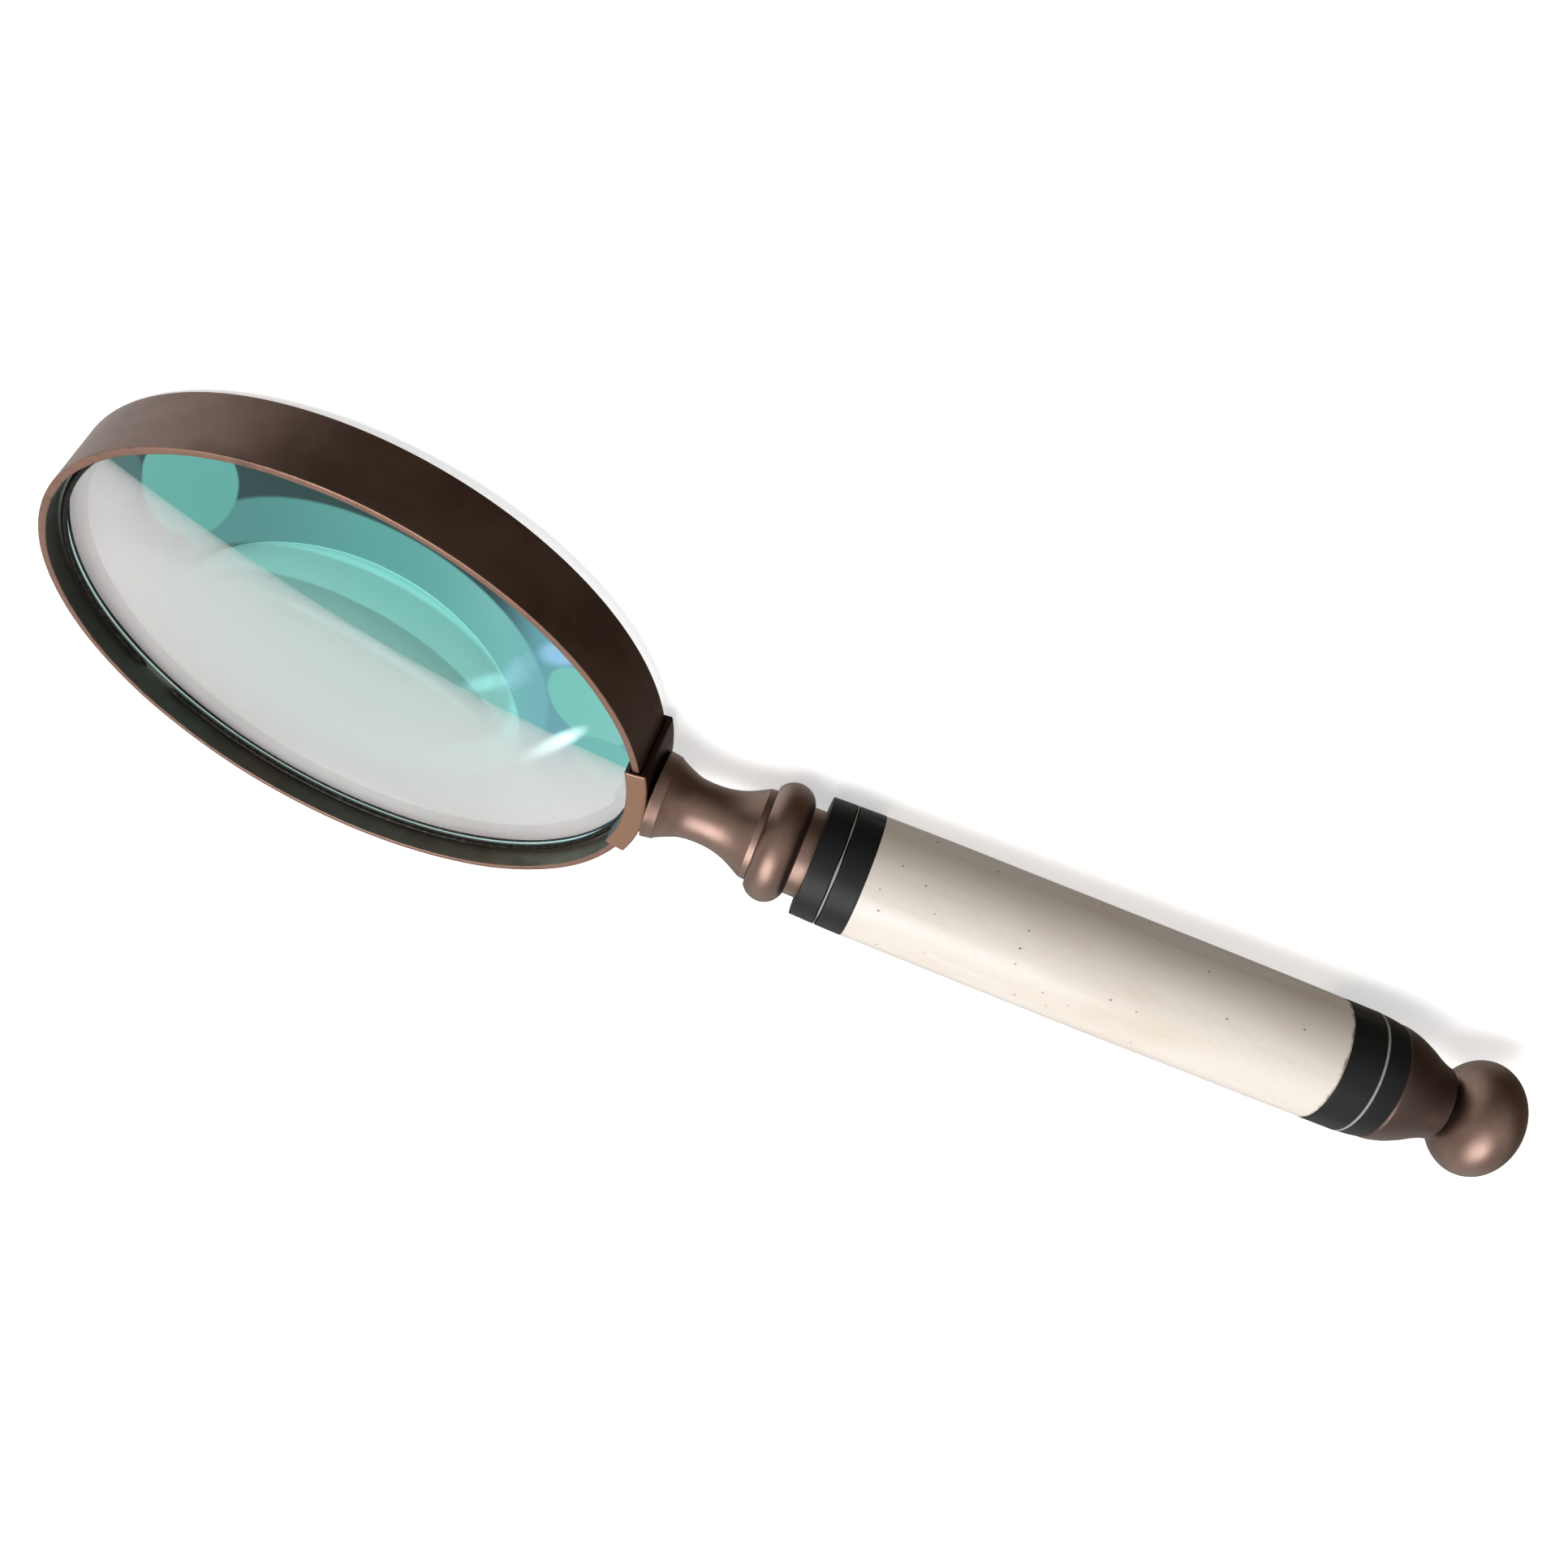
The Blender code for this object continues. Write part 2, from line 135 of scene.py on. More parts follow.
def filleted(corners: Sequence[tuple[float, float, float]], closed: bool, steps: int = 6) -> np.ndarray:
    """Rounds the corners of an outline.

    Each corner gives way to a parabola between two points a fillet's length from it: at t it is
    (1-t)^2 times the first, 2t(1-t) times the corner and t^2 times the second. A fillet never takes more
    than 49 hundredths of a side, and points that fall on each other are joined.

    Args:
        corners: Rows of (first coordinate, second coordinate, fillet length) in millimetres.
        closed: True if the last corner joins the first.
        steps: Spans in each fillet.

    Returns:
        An array of points, two coordinates each.
    """
    most, nothing, same = 0.49, 1e-9, 1e-6
    table = np.asarray(corners, float)
    point, fillet = table[:, :2], table[:, 2:].copy()
    before, after = np.roll(point, 1, axis=0), np.roll(point, -1, axis=0)
    if not closed:
        before[0], after[-1] = point[0], point[-1]
        fillet[[0, -1]] = 0.0
    back, ahead = before - point, after - point
    back_length = np.maximum(np.linalg.norm(back, axis=1, keepdims=True), nothing)
    ahead_length = np.maximum(np.linalg.norm(ahead, axis=1, keepdims=True), nothing)
    start = point + back / back_length * np.minimum(fillet, back_length * most)
    end = point + ahead / ahead_length * np.minimum(fillet, ahead_length * most)
    t = np.linspace(0.0, 1.0, steps + 1)[None, :, None]
    curve = (1 - t) ** 2 * start[:, None] + 2 * t * (1 - t) * point[:, None] + t**2 * end[:, None]
    curve = curve.reshape(-1, 2)
    previous = curve[-1:] if closed else curve[:1] - 1.0
    step = np.linalg.norm(np.diff(curve, axis=0, prepend=previous), axis=1)
    return curve[step > same]


def subdivided(outline: np.ndarray, longest: float, closed: bool) -> np.ndarray:
    """Divides an outline's long spans evenly, so that none is longer than a given length.

    Args:
        outline: Points, two coordinates each.
        longest: Longest span allowed, in millimetres.
        closed: True if the last point joins the first.

    Returns:
        The points with the new ones among them.
    """
    ends = np.roll(outline, -1, axis=0) if closed else outline[1:]
    starts = outline if closed else outline[:-1]
    count = np.maximum(np.ceil(np.linalg.norm(ends - starts, axis=1) / longest).astype(int), 1)
    span = np.repeat(np.arange(len(starts)), count)
    first = np.concatenate(([0], np.cumsum(count)[:-1]))
    share = ((np.arange(len(span)) - first[span]) / count[span])[:, None]
    points = starts[span] * (1 - share) + ends[span] * share
    return points if closed else np.vstack((points, outline[-1:]))


def smooth_curve(points: Sequence[tuple[float, float]], spans: int) -> np.ndarray:
    """A Catmull-Rom curve through points: between each two, a cubic whose slope at a point is half the
    step from the point before it to the one after.

    Args:
        points: The points, two coordinates each.
        spans: Spans between each two points.

    Returns:
        An array of points on the curve.
    """
    p = np.asarray(points, float)
    a, b, c, d = np.vstack((p[:1], p[:-2])), p[:-1], p[1:], np.vstack((p[2:], p[-1:]))
    t = np.linspace(0.0, 1.0, spans, endpoint=False)[None, :, None]
    a, b, c, d = (row[:, None] for row in (a, b, c, d))
    curve = 2 * b + (c - a) * t + (2 * a - 5 * b + 4 * c - d) * t**2 + (3 * b - a - 3 * c + d) * t**3
    return np.vstack((0.5 * curve.reshape(-1, 2), p[-1:]))


def ripple(first: np.ndarray, second: np.ndarray, waves: tuple[float, float], seed: int) -> np.ndarray:
    """Slow unevenness left by handwork, mostly between -1 and 1.

    Twice the mean of twelve sine waves, each with its own share of the given wave numbers and its own phase.
    The second coordinate is an angle, so its wave numbers are whole and the surface closes on itself.

    Args:
        first: Distance along the piece, in millimetres.
        second: Angle round the piece, in radians.
        waves: Most waves per millimetre, and most waves round the piece.
        seed: Seed of the random draws.

    Returns:
        The unevenness at each point.
    """
    draw = np.random.default_rng(seed)
    count = 12
    along = draw.uniform(-1.0, 1.0, count) * waves[0] * 2 * math.pi
    around = np.round(draw.uniform(-1.0, 1.0, count) * waves[1])
    phase = draw.uniform(0.0, 2 * math.pi, count)
    angle = first[..., None] * along + second[..., None] * around + phase
    return np.sin(angle).mean(axis=-1) * 2.0


def grid_object(name: str, grid: np.ndarray, wrap_rows: bool, wrap_columns: bool,
                crease: float = 32.0) -> bpy.types.Object:
    """Makes an object of quads over a grid of points in the world.

    A row that has shrunk to a point becomes one vertex. An open end of wrapped columns is closed by one face.

    Args:
        name: Name of the object.
        grid: Points in metres, as rows by columns by three.
        wrap_rows: True if the last row joins the first.
        wrap_columns: True if the last column joins the first.
        crease: Angle in degrees from which an edge stays sharp.

    Returns:
        The object, linked to the scene.
    """
    point_size, merge_within = 1e-8, 2e-7
    rows, columns = grid.shape[:2]
    index = np.arange(rows * columns).reshape(rows, columns)
    row_ids = np.arange(rows if wrap_rows else rows - 1)
    column_ids = np.arange(columns if wrap_columns else columns - 1)
    r, c = np.meshgrid(row_ids, column_ids, indexing="ij")
    r2, c2 = (r + 1) % rows, (c + 1) % columns
    quads = np.stack((index[r, c], index[r, c2], index[r2, c2], index[r2, c]), axis=-1).reshape(-1, 4)
    faces = quads.tolist()
    if wrap_columns and not wrap_rows:
        faces += [index[end].tolist() for end in (0, -1) if np.ptp(grid[end], axis=0).max() > point_size]
    mesh = bpy.data.meshes.new(name)
    mesh.from_pydata(grid.reshape(-1, 3), [], faces)
    shape = bmesh.new()
    shape.from_mesh(mesh)
    bmesh.ops.remove_doubles(shape, verts=shape.verts, dist=merge_within)
    bmesh.ops.recalc_face_normals(shape, faces=shape.faces)
    shape.to_mesh(mesh)
    shape.free()
    mesh.shade_smooth()
    mesh.set_sharp_from_angle(angle=math.radians(crease))
    made = bpy.data.objects.new(name, mesh)
    bpy.context.scene.collection.objects.link(made)
    return made


Change = Callable[[np.ndarray, np.ndarray, np.ndarray], tuple[np.ndarray, np.ndarray]]


def turned(name: str, place: Place, outline: np.ndarray, closed: bool, around: int = 256,
           change: Change | None = None) -> bpy.types.Object:
    """A turned piece: each point of the outline is carried round the frame's Z.

    A point at angle a is (radius times cos a, radius times sin a, station).

    Args:
        name: Name of the object.
        place: The frame.
        outline: Rows of (station, radius) in millimetres.
        closed: True if the outline is a loop round a bore.
        around: Points round the piece.
        change: Takes stations, radii and angles and gives new stations and radii.

    Returns:
        The object.
    """
    angle = np.linspace(0.0, 2 * math.pi, around, endpoint=False)[None, :]
    station = np.repeat(outline[:, :1], around, axis=1)
    radius = np.repeat(outline[:, 1:], around, axis=1)
    angle = np.repeat(angle, len(outline), axis=0)
    if change is not None:
        station, radius = change(station, radius, angle)
    points = np.stack((radius * np.cos(angle), radius * np.sin(angle), station), axis=-1)
    return grid_object(name, place.to_world(points), closed, True)


# -------------------------------------------------------------------------------------------- finishes


def linear(code: str) -> tuple[float, float, float, float]:
    """Turns an sRGB hex colour into the linear colour that shaders take.

    Args:
        code: The colour, as # and six hex digits.

    Returns:
        Red, green, blue and an opacity of one.
    """
    values = [int(code[i : i + 2], 16) / 255 for i in (1, 3, 5)]
    red, green, blue = (v / 12.92 if v <= 0.04045 else ((v + 0.055) / 1.055) ** 2.4 for v in values)
    return red, green, blue, 1.0


def add_node(tree: bpy.types.NodeTree, kind: str, inputs: dict[Any, Any], **settings: Any) -> bpy.types.Node:
    """Adds a node.

    Args:
        tree: The node tree.
        kind: The node's type.
        inputs: For each input's name or number, a value or the socket that feeds it.
        **settings: The node's other settings.

    Returns:
        The node.
    """
    node = tree.nodes.new(kind)
    for name, value in settings.items():
        setattr(node, name, value)
    for key, value in inputs.items():
        if isinstance(value, bpy.types.NodeSocket):
            tree.links.new(value, node.inputs[key])
        else:
            node.inputs[key].default_value = value
    return node


class Measure(Enum):
    """What decides where a layer of a finish lies."""

    NOISE = "cloudy noise, from 0 to 1"
    CELLS = "distance from the nearest of many scattered points, in grains"
    X = "the first coordinate, in grains"
    Z = "the third coordinate, in grains"
    AWAY = "distance from the layer's centre, in grains"


class Lay(Enum):
    """Which coordinates a layer follows."""

    STRAIGHT = "the frame's own X, Y and Z"
    TURNED = "distance from the frame's Z, then nothing, then Z: rings, as a lathe leaves them"


@dataclass(frozen=True)
class Layer:
    """One colour, roughness or relief laid over a finish.

    Attributes:
        measure: What decides where it lies.
        start: The measure where the layer begins.
        full: The measure where it is full.
        grain: Size of the pattern in millimetres, along each coordinate.
        colour: sRGB hex colour where it is full, or empty for none.
        roughness: Roughness where it is full, or None to leave it.
        relief: Height where it is full, in millimetres.
        strength: How much of it shows, from 0 to 1.
        ragged: How far noise moves its edge, in the measure's own unit.
        ragged_grain: Size of that noise, in millimetres.
        centre: Centre of the pattern in the frame, in millimetres.
        turn: Turn of the pattern about the frame's Z, in degrees.
        lay: Which coordinates it follows.
        detail: Octaves of noise.
    """

    measure: Measure
    start: float
    full: float
    grain: tuple[float, float, float] = (1.0, 1.0, 1.0)
    colour: str = ""
    roughness: float | None = None
    relief: float = 0.0
    strength: float = 1.0
    ragged: float = 0.0
    ragged_grain: float = 3.0
    centre: tuple[float, float, float] = (0.0, 0.0, 0.0)
    turn: float = 0.0
    lay: Lay = Lay.STRAIGHT
    detail: float = 3.0


@dataclass(frozen=True)
class Finish:
    """A material: what the shader's own sockets hold, and the layers over them.

    Attributes:
        name: Name of the finish.
        colour: Base colour, sRGB hex.
        roughness: Base roughness.
        layers: Layers, the lowest first.
        settings: Values for the shader's other sockets.
        absorption: The colour that a clear piece's body lets through, and how strongly it takes the rest.
        painted: The shader's socket that the layers' colours go to.
        painted_glow: How strongly the painted light in a clear piece's layers glows, where a face is met
        from within after one reflection.
    """

    name: str
    colour: str
    roughness: float
    layers: tuple[Layer, ...] = ()
    settings: dict[str, Any] = field(default_factory=dict)
    absorption: tuple[str, float] | None = None
    painted: str = "Base Color"
    painted_glow: float = 0.0

    def material(self, place: Place) -> bpy.types.Material:
        """Makes the material.

        A Mix node's sockets go by number here: 0 is the share, 2 and 3 are numbers, 6 and 7 are colours.

        Args:
            place: The frame that its patterns follow.

        Returns:
            The material.
        """
        made = bpy.data.materials.new(self.name)
        made.use_nodes = True
        tree = made.node_tree
        shader = tree.nodes["Principled BSDF"]
        shader.inputs["Base Color"].default_value = linear(self.colour)
        shader.inputs["Roughness"].default_value = self.roughness
        for socket, value in self.settings.items():
            shader.inputs[socket].default_value = value
        if self.absorption is not None:
            tint = {"Color": linear(self.absorption[0]), "Density": self.absorption[1]}
            body = add_node(tree, "ShaderNodeVolumeAbsorption", tint)
            tree.links.new(body.outputs[0], tree.nodes["Material Output"].inputs["Volume"])
        if not self.layers:
            return made

        held = add_node(tree, "ShaderNodeTexCoord", {}).outputs["Object"]
        turn, unit = place.rotation, (MM, MM, MM)
        framing = {"Vector": held, "Location": place.location, "Rotation": turn, "Scale": unit}
        straight = add_node(tree, "ShaderNodeMapping", framing, vector_type="TEXTURE").outputs[0]
        flat = add_node(tree, "ShaderNodeVectorMath", {0: straight, 1: (1.0, 1.0, 0.0)}, operation="MULTIPLY")
        radius = add_node(tree, "ShaderNodeVectorMath", {0: flat.outputs[0]}, operation="LENGTH")
        station = add_node(tree, "ShaderNodeSeparateXYZ", {0: straight}).outputs[2]
        rings = add_node(tree, "ShaderNodeCombineXYZ", {0: radius.outputs["Value"], 2: station}).outputs[0]
        coordinates = {Lay.STRAIGHT: straight, Lay.TURNED: rings}

        colour: Any = tuple(shader.inputs[self.painted].default_value)
        roughness: Any = self.roughness
        height: Any = None
        for layer in self.layers:
            mask = self.mask(tree, layer, coordinates[layer.lay], straight)
            if layer.colour:
                mix = {0: mask, 6: colour, 7: linear(layer.colour)}
                colour = add_node(tree, "ShaderNodeMix", mix, data_type="RGBA").outputs[2]
            if layer.roughness is not None:
                mix = {0: mask, 2: roughness, 3: layer.roughness}
                roughness = add_node(tree, "ShaderNodeMix", mix).outputs[0]
            if layer.relief:
                terms = {0: mask, 1: layer.relief, 2: 0.0 if height is None else height}
                height = add_node(tree, "ShaderNodeMath", terms, operation="MULTIPLY_ADD").outputs[0]
        for name, value in ((self.painted, colour), ("Roughness", roughness)):
            if isinstance(value, bpy.types.NodeSocket):
                tree.links.new(value, shader.inputs[name])
        # Painted light: the layers' colours glow as emission where a face is met from within after one
        # reflection.
        if self.painted_glow:
            tree.links.new(self.painted_glow_strength(tree), shader.inputs["Emission Strength"])
        if height is not None:
            bump = add_node(tree, "ShaderNodeBump", {"Height": height, "Distance": MM, "Strength": 1.0})
            tree.links.new(bump.outputs[0], shader.inputs["Normal"])
        return made

    def painted_glow_strength(self, tree: bpy.types.NodeTree) -> bpy.types.NodeSocket:
        """Adds the nodes that say how strongly the painted light glows: as the finish says where a face is
        met from within after one reflection, and not at all elsewhere.

        Args:
            tree: The material's node tree.

        Returns:
            A socket of the strength.
        """
        path = add_node(tree, "ShaderNodeLightPath", {}).outputs["Glossy Depth"]
        once = add_node(tree, "ShaderNodeMath", {0: path, 1: 1.0, 2: 0.1}, operation="COMPARE").outputs[0]
        within = add_node(tree, "ShaderNodeNewGeometry", {}).outputs["Backfacing"]
        met = add_node(tree, "ShaderNodeMath", {0: once, 1: within}, operation="MULTIPLY").outputs[0]
        return add_node(tree, "ShaderNodeMath", {0: met, 1: self.painted_glow}, operation="MULTIPLY").outputs[0]

    def mask(self, tree: bpy.types.NodeTree, layer: Layer, vector: Any,
             straight: Any) -> bpy.types.NodeSocket:
        """Adds the nodes that say how much of a layer shows.

        Args:
            tree: The material's node tree.
            layer: The layer.
            vector: Socket of the coordinates that the layer follows.
            straight: Socket of the frame's own coordinates.

        Returns:
            A socket from 0 to the layer's strength.
        """
        turn = (0.0, 0.0, math.radians(layer.turn))
        framing = {"Vector": vector, "Location": layer.centre, "Rotation": turn, "Scale": layer.grain}
        local = add_node(tree, "ShaderNodeMapping", framing, vector_type="TEXTURE").outputs[0]
        if layer.measure is Measure.NOISE:
            noise = {"Vector": local, "Scale": 1.0, "Detail": layer.detail}
            value = add_node(tree, "ShaderNodeTexNoise", noise).outputs[0]
        elif layer.measure is Measure.CELLS:
            cells = {"Vector": local, "Scale": 1.0}
            value = add_node(tree, "ShaderNodeTexVoronoi", cells).outputs["Distance"]
        elif layer.measure is Measure.AWAY:
            value = add_node(tree, "ShaderNodeVectorMath", {0: local}, operation="LENGTH").outputs["Value"]
        else:
            axis = {Measure.X: 0, Measure.Z: 2}[layer.measure]
            value = add_node(tree, "ShaderNodeSeparateXYZ", {0: local}).outputs[axis]
        if layer.ragged:
            noise = {"Vector": straight, "Scale": 1.0 / layer.ragged_grain, "Detail": 4.0}
            shift = add_node(tree, "ShaderNodeTexNoise", noise).outputs[0]
            centred = add_node(tree, "ShaderNodeMath", {0: shift, 1: 0.5}, operation="SUBTRACT").outputs[0]
            terms = {0: centred, 1: layer.ragged * 2, 2: value}
            value = add_node(tree, "ShaderNodeMath", terms, operation="MULTIPLY_ADD").outputs[0]
        span = {"Value": value, 1: layer.start, 2: layer.full, 3: 0.0, 4: layer.strength}
        return add_node(tree, "ShaderNodeMapRange", span, interpolation_type="SMOOTHSTEP").outputs[0]


# Patinated brass under wax: satin, dark copper brown, from a chemical bath and years of handling. Fine lathe
# rings and cloudy darker patches break up its reflections, and the wax lays a paler gleam over them.
TURNED_BRASS = Finish(
    "patinated_brass_turned",
    "#8b7064",
    0.38,
    (
        Layer(Measure.NOISE, 0.42, 0.72, (9.0, 9.0, 9.0), "#705347", strength=0.7),
        Layer(Measure.NOISE, 0.5, 0.75, (3.0, 3.0, 3.0), "#9a7c70", 0.4, strength=0.5),
        Layer(Measure.NOISE, 0.3, 0.7, (0.35, 1.0, 0.12), relief=0.0012, lay=Lay.TURNED, roughness=0.46),
        Layer(Measure.NOISE, 0.35, 0.65, (0.16, 0.16, 0.16), relief=0.0015, detail=1.0),
        Layer(Measure.CELLS, 0.06, 0.0, (1.9, 1.9, 1.9), "#2a201d", 0.6, relief=-0.01),
    ),
    {"Metallic": 1.0, "Coat Weight": 0.8, "Coat Roughness": 0.36},
)

# The end cap is the same metal in a darker patina, which the hand has rubbed less.
CAP_BRASS = replace(
    TURNED_BRASS,
    name="patinated_brass_dark",
    colour="#5b453c",
    layers=(
        Layer(Measure.NOISE, 0.42, 0.72, (7.0, 7.0, 7.0), "#46342d", strength=0.8),
        *TURNED_BRASS.layers[2:],
    ),
)

# Rolled brass strip in dark patina: grey brown inside, warmer and paler towards the handle, dark brown
# outside, and rubbed to pink copper along its front and back edges, where hands and cloths reach.
HOOP_BRASS = Finish(
    "patinated_brass_strip",
    "#6c6861",
    0.36,
    (
        Layer(Measure.X, 5.0, -42.0, colour="#a08a78", roughness=0.45),
        Layer(Measure.X, 49.9, 50.3, colour="#7b6860", lay=Lay.TURNED),
        Layer(Measure.NOISE, 0.4, 0.7, (14.0, 14.0, 8.0), "#655349", strength=0.7),
        Layer(Measure.NOISE, 0.45, 0.75, (4.0, 4.0, 4.0), "#84705f", 0.44, strength=0.4),
        Layer(Measure.Z, 5.36, 5.56, colour="#a78475", roughness=0.36, ragged=0.16, ragged_grain=1.6),
        Layer(Measure.Z, -5.3, -5.52, colour="#96766a", roughness=0.36, ragged=0.1, ragged_grain=1.6),
        Layer(Measure.NOISE, 0.3, 0.7, (0.4, 1.0, 0.1), relief=0.0012, lay=Lay.TURNED, roughness=0.5),
        Layer(Measure.NOISE, 0.35, 0.65, (0.18, 0.18, 0.18), relief=0.0012, detail=1.0),
    ),
    {"Metallic": 1.0},
)

# Cast brass, filed flat on its front: pinkish where the file cut, brown elsewhere, with a few casting pits.
SADDLE_BRASS = Finish(
    "patinated_brass_cast",
    "#4d3e37",
    0.4,
    (
        Layer(Measure.NOISE, 0.4, 0.7, (6.0, 6.0, 6.0), "#3a2e29", strength=0.6),
        Layer(Measure.Z, 5.75, 6.1, colour="#b08a72", roughness=0.42, ragged=0.12, ragged_grain=1.5),
        Layer(Measure.NOISE, 0.35, 0.65, (0.5, 0.12, 0.5), relief=0.002),
        Layer(Measure.CELLS, 0.09, 0.0, (1.3, 1.3, 1.3), "#4a382e", 0.6, relief=-0.02),
    ),
    {"Metallic": 1.0},
)

# Polished buffalo horn: blue black, with faint brown streaks along it and a soft gloss.
HORN = Finish(
    "buffalo_horn_polished",
    "#101418",
    0.42,
    (
        Layer(Measure.NOISE, 0.55, 0.8, (3.0, 3.0, 14.0), "#2a2523", strength=0.7),
        Layer(Measure.NOISE, 0.4, 0.7, (0.25, 0.25, 0.09), relief=0.0012, roughness=0.5, lay=Lay.TURNED),
        Layer(Measure.NOISE, 0.4, 0.7, (0.12, 0.12, 1.6), relief=0.001, detail=1.0),
    ),
    {"IOR": 1.55, "Specular IOR Level": 0.28},
)

# Camel bone, scraped and polished: cream, a little translucent, with long faint streaks of the grain, a few
# short dark pores where blood vessels ran, and a browned edge where it meets the rear horn.
BONE = Finish(
    "camel_bone_polished",
    "#ede7e0",
    0.25,
    (
        Layer(Measure.NOISE, 0.4, 0.75, (1.8, 1.8, 30.0), "#e0d5c5", strength=0.3),
        Layer(Measure.NOISE, 0.45, 0.8, (9.0, 9.0, 24.0), "#dccdb6", strength=0.5),
        Layer(Measure.NOISE, 0.63, 0.72, (0.22, 0.22, 2.6), "#cdbb9f", strength=0.2),
        Layer(Measure.CELLS, 0.085, 0.045, (2.4, 2.4, 4.0), "#6f5843", strength=0.85, ragged=0.05,
              ragged_grain=9.0),
        Layer(Measure.Z, 168.5, 169.1, colour="#6a4a33", ragged=0.8, ragged_grain=2.2, strength=0.8),
        Layer(Measure.NOISE, 0.4, 0.7, (0.2, 0.2, 3.0), relief=0.0008, roughness=0.31),
    ),
    {
        "IOR": 1.54,
        "Subsurface Weight": 0.1,
        "Subsurface Radius": (0.9, 0.6, 0.35),
        "Subsurface Scale": 0.002,
    },
)

# Vulcanised fibre washer: thin, pale and matt.
FIBRE = Finish(
    "fibre_washer",
    "#a5a6a3",
    0.55,
    (Layer(Measure.NOISE, 0.4, 0.7, (0.3, 0.3, 0.3), "#85857f", strength=0.6, relief=0.01),),
)

# Spring wire, oiled black.
WIRE = Finish(
    "spring_wire_blackened",
    "#2b2a28",
    0.4,
    (Layer(Measure.NOISE, 0.4, 0.7, (0.8, 0.8, 0.8), "#45403c", 0.5, relief=0.002),),
    {"Metallic": 1.0},
)

# Mild steel rod, washer and nut, plain.
STEEL = Finish(
    "mild_steel_plain",
    "#8f8e8a",
    0.38,
    (Layer(Measure.NOISE, 0.4, 0.7, (0.4, 0.4, 0.15), "#6f6d69", 0.48, relief=0.002, lay=Lay.TURNED),),
    {"Metallic": 1.0},
)

# Beech dowel inside the bone.
WOOD = Finish(
    "beech_dowel",
    "#b98d5e",
    0.6,
    (
        Layer(Measure.NOISE, 0.4, 0.7, (0.6, 0.6, 14.0), "#8f6438", strength=0.8, relief=0.02),
        Layer(Measure.CELLS, 0.2, 0.05, (0.8, 0.8, 3.0), "#6e4a28", strength=0.6),
    ),
)

def painted_light_patch(size: tuple[float, float], centre: tuple[float, float], colour: str, turn: float = 0.0,
               edge: tuple[float, float] = (1.05, 0.97), **more: Any) -> Layer:
    """A patch of painted light in the lens: an ellipse about a point, which runs straight through the glass.

    Args:
        size: Half lengths of the ellipse, in millimetres.
        centre: Its centre in the hoop's frame.
        colour: sRGB hex colour of the painted light.
        turn: Its turn about the lens's axis, in degrees.
        edge: Shares of the ellipse's size where the colour begins and where it is full.
        **more: The layer's other attributes.

    Returns:
        The layer.
    """
    through = 900.0
    return Layer(Measure.AWAY, *edge, (*size, through), colour, centre=(*centre, 0.0), turn=turn, **more)


# Crown glass, polished: clear through its thickness and a little grey. Over it lies painted light, a glow
# shown where a face mirrors from within after one reflection: blue green painted reflections in rings about
# the axis, painted shadow arcs between them, painted shade beyond them, and painted lobes and streaks of
# reflection with a bright painted highlight, a flare near the handle.
GLASS_WITH_PAINTED_LIGHT = Finish(
    "crown_glass_painted_light",
    "#d6cbcc",
    0.0,
    (
        Layer(Measure.X, 20.0, -6.0, colour="#467673"),
        Layer(Measure.X, -4.0, -26.0, colour="#5d8988"),
        painted_light_patch((25.2, 18.0), (4.5, 3.0), "#0a3c3b", edge=(1.05, 0.98)),
        painted_light_patch((2.0, 9.5), (-17.5, -1.5), "#7fa5ad", -42.0, (1.0, 0.2), strength=0.4),
        painted_light_patch((2.6, 9.5), (-22.5, -8.0), "#86a6b2", -24.0, (1.0, 0.2), strength=0.6, ragged=0.6,
                   ragged_grain=2.0),
        painted_light_patch((27.7, 27.7), (0.6, -0.6), "#162e30", edge=(0.985, 1.02)),
        Layer(Measure.X, -17.0, -27.0, colour="#507c86", strength=0.85),
        painted_light_patch((6.6, 13.5), (24.6, -24.0), "#467a75", -16.0, (1.05, 0.99)),
        painted_light_patch((7.6, 11.5), (39.2, -24.0), "#2c4a4a", -10.0),
        painted_light_patch((3.0, 7.0), (-29.0, -17.0), "#6f8fa8", -40.0, (1.0, 0.4)),
        painted_light_patch((8.0, 8.5), (-35.0, -8.0), "#588c86", -30.0),
        painted_light_patch((9.0, 6.5), (-41.0, 4.5), "#4d827e"),
        painted_light_patch((1.9, 12.5), (-28.6, 6.5), "#e8ffff", -33.0, (1.0, 0.1)),
    ),
    # The emission colour is the painted light where no layer lies: a blue green glow.
    {"IOR": 1.52, "Transmission Weight": 1.0, "Emission Color": linear("#3a6464")},
    absorption=("#8fe9e0", 24.0),
    painted="Emission Color",
    painted_glow=3.0,
)

# The same glass ground matt round its edge, with a painted glow: a little emission that stands in for the
# light it would gather from the whole lens.
GROUND_GLASS_PAINTED_GLOW = Finish(
    "crown_glass_ground_edge_painted_glow",
    "#e6f6f3",
    0.7,
    # Painted glow: emission on the ground edge, which is no lamp.
    settings={"Emission Color": linear("#dff8f4"), "Emission Strength": 0.5},
)


def dress(piece: bpy.types.Object, material: bpy.types.Material) -> None:
    """Gives a piece its one material."""
    piece.data.materials.clear()
    piece.data.materials.append(material)


def settle(piece: bpy.types.Object, node: str, body: str,
           material: bpy.types.Material | None = None) -> None:
    """Finishes a piece: material, body and the node that it stands for.

    Args:
        piece: The piece.
        node: The CAD node that it replaces.
        body: The body that it rides on.
        material: Its material, or None if it has been dressed.
    """
    if material is not None:
        dress(piece, material)
    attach(piece, body)
    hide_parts(node)
    log.info("%s: %d faces, on %s", piece.name, len(piece.data.polygons), body)


# ------------------------------------------------------------------------------------- sub-assemblies


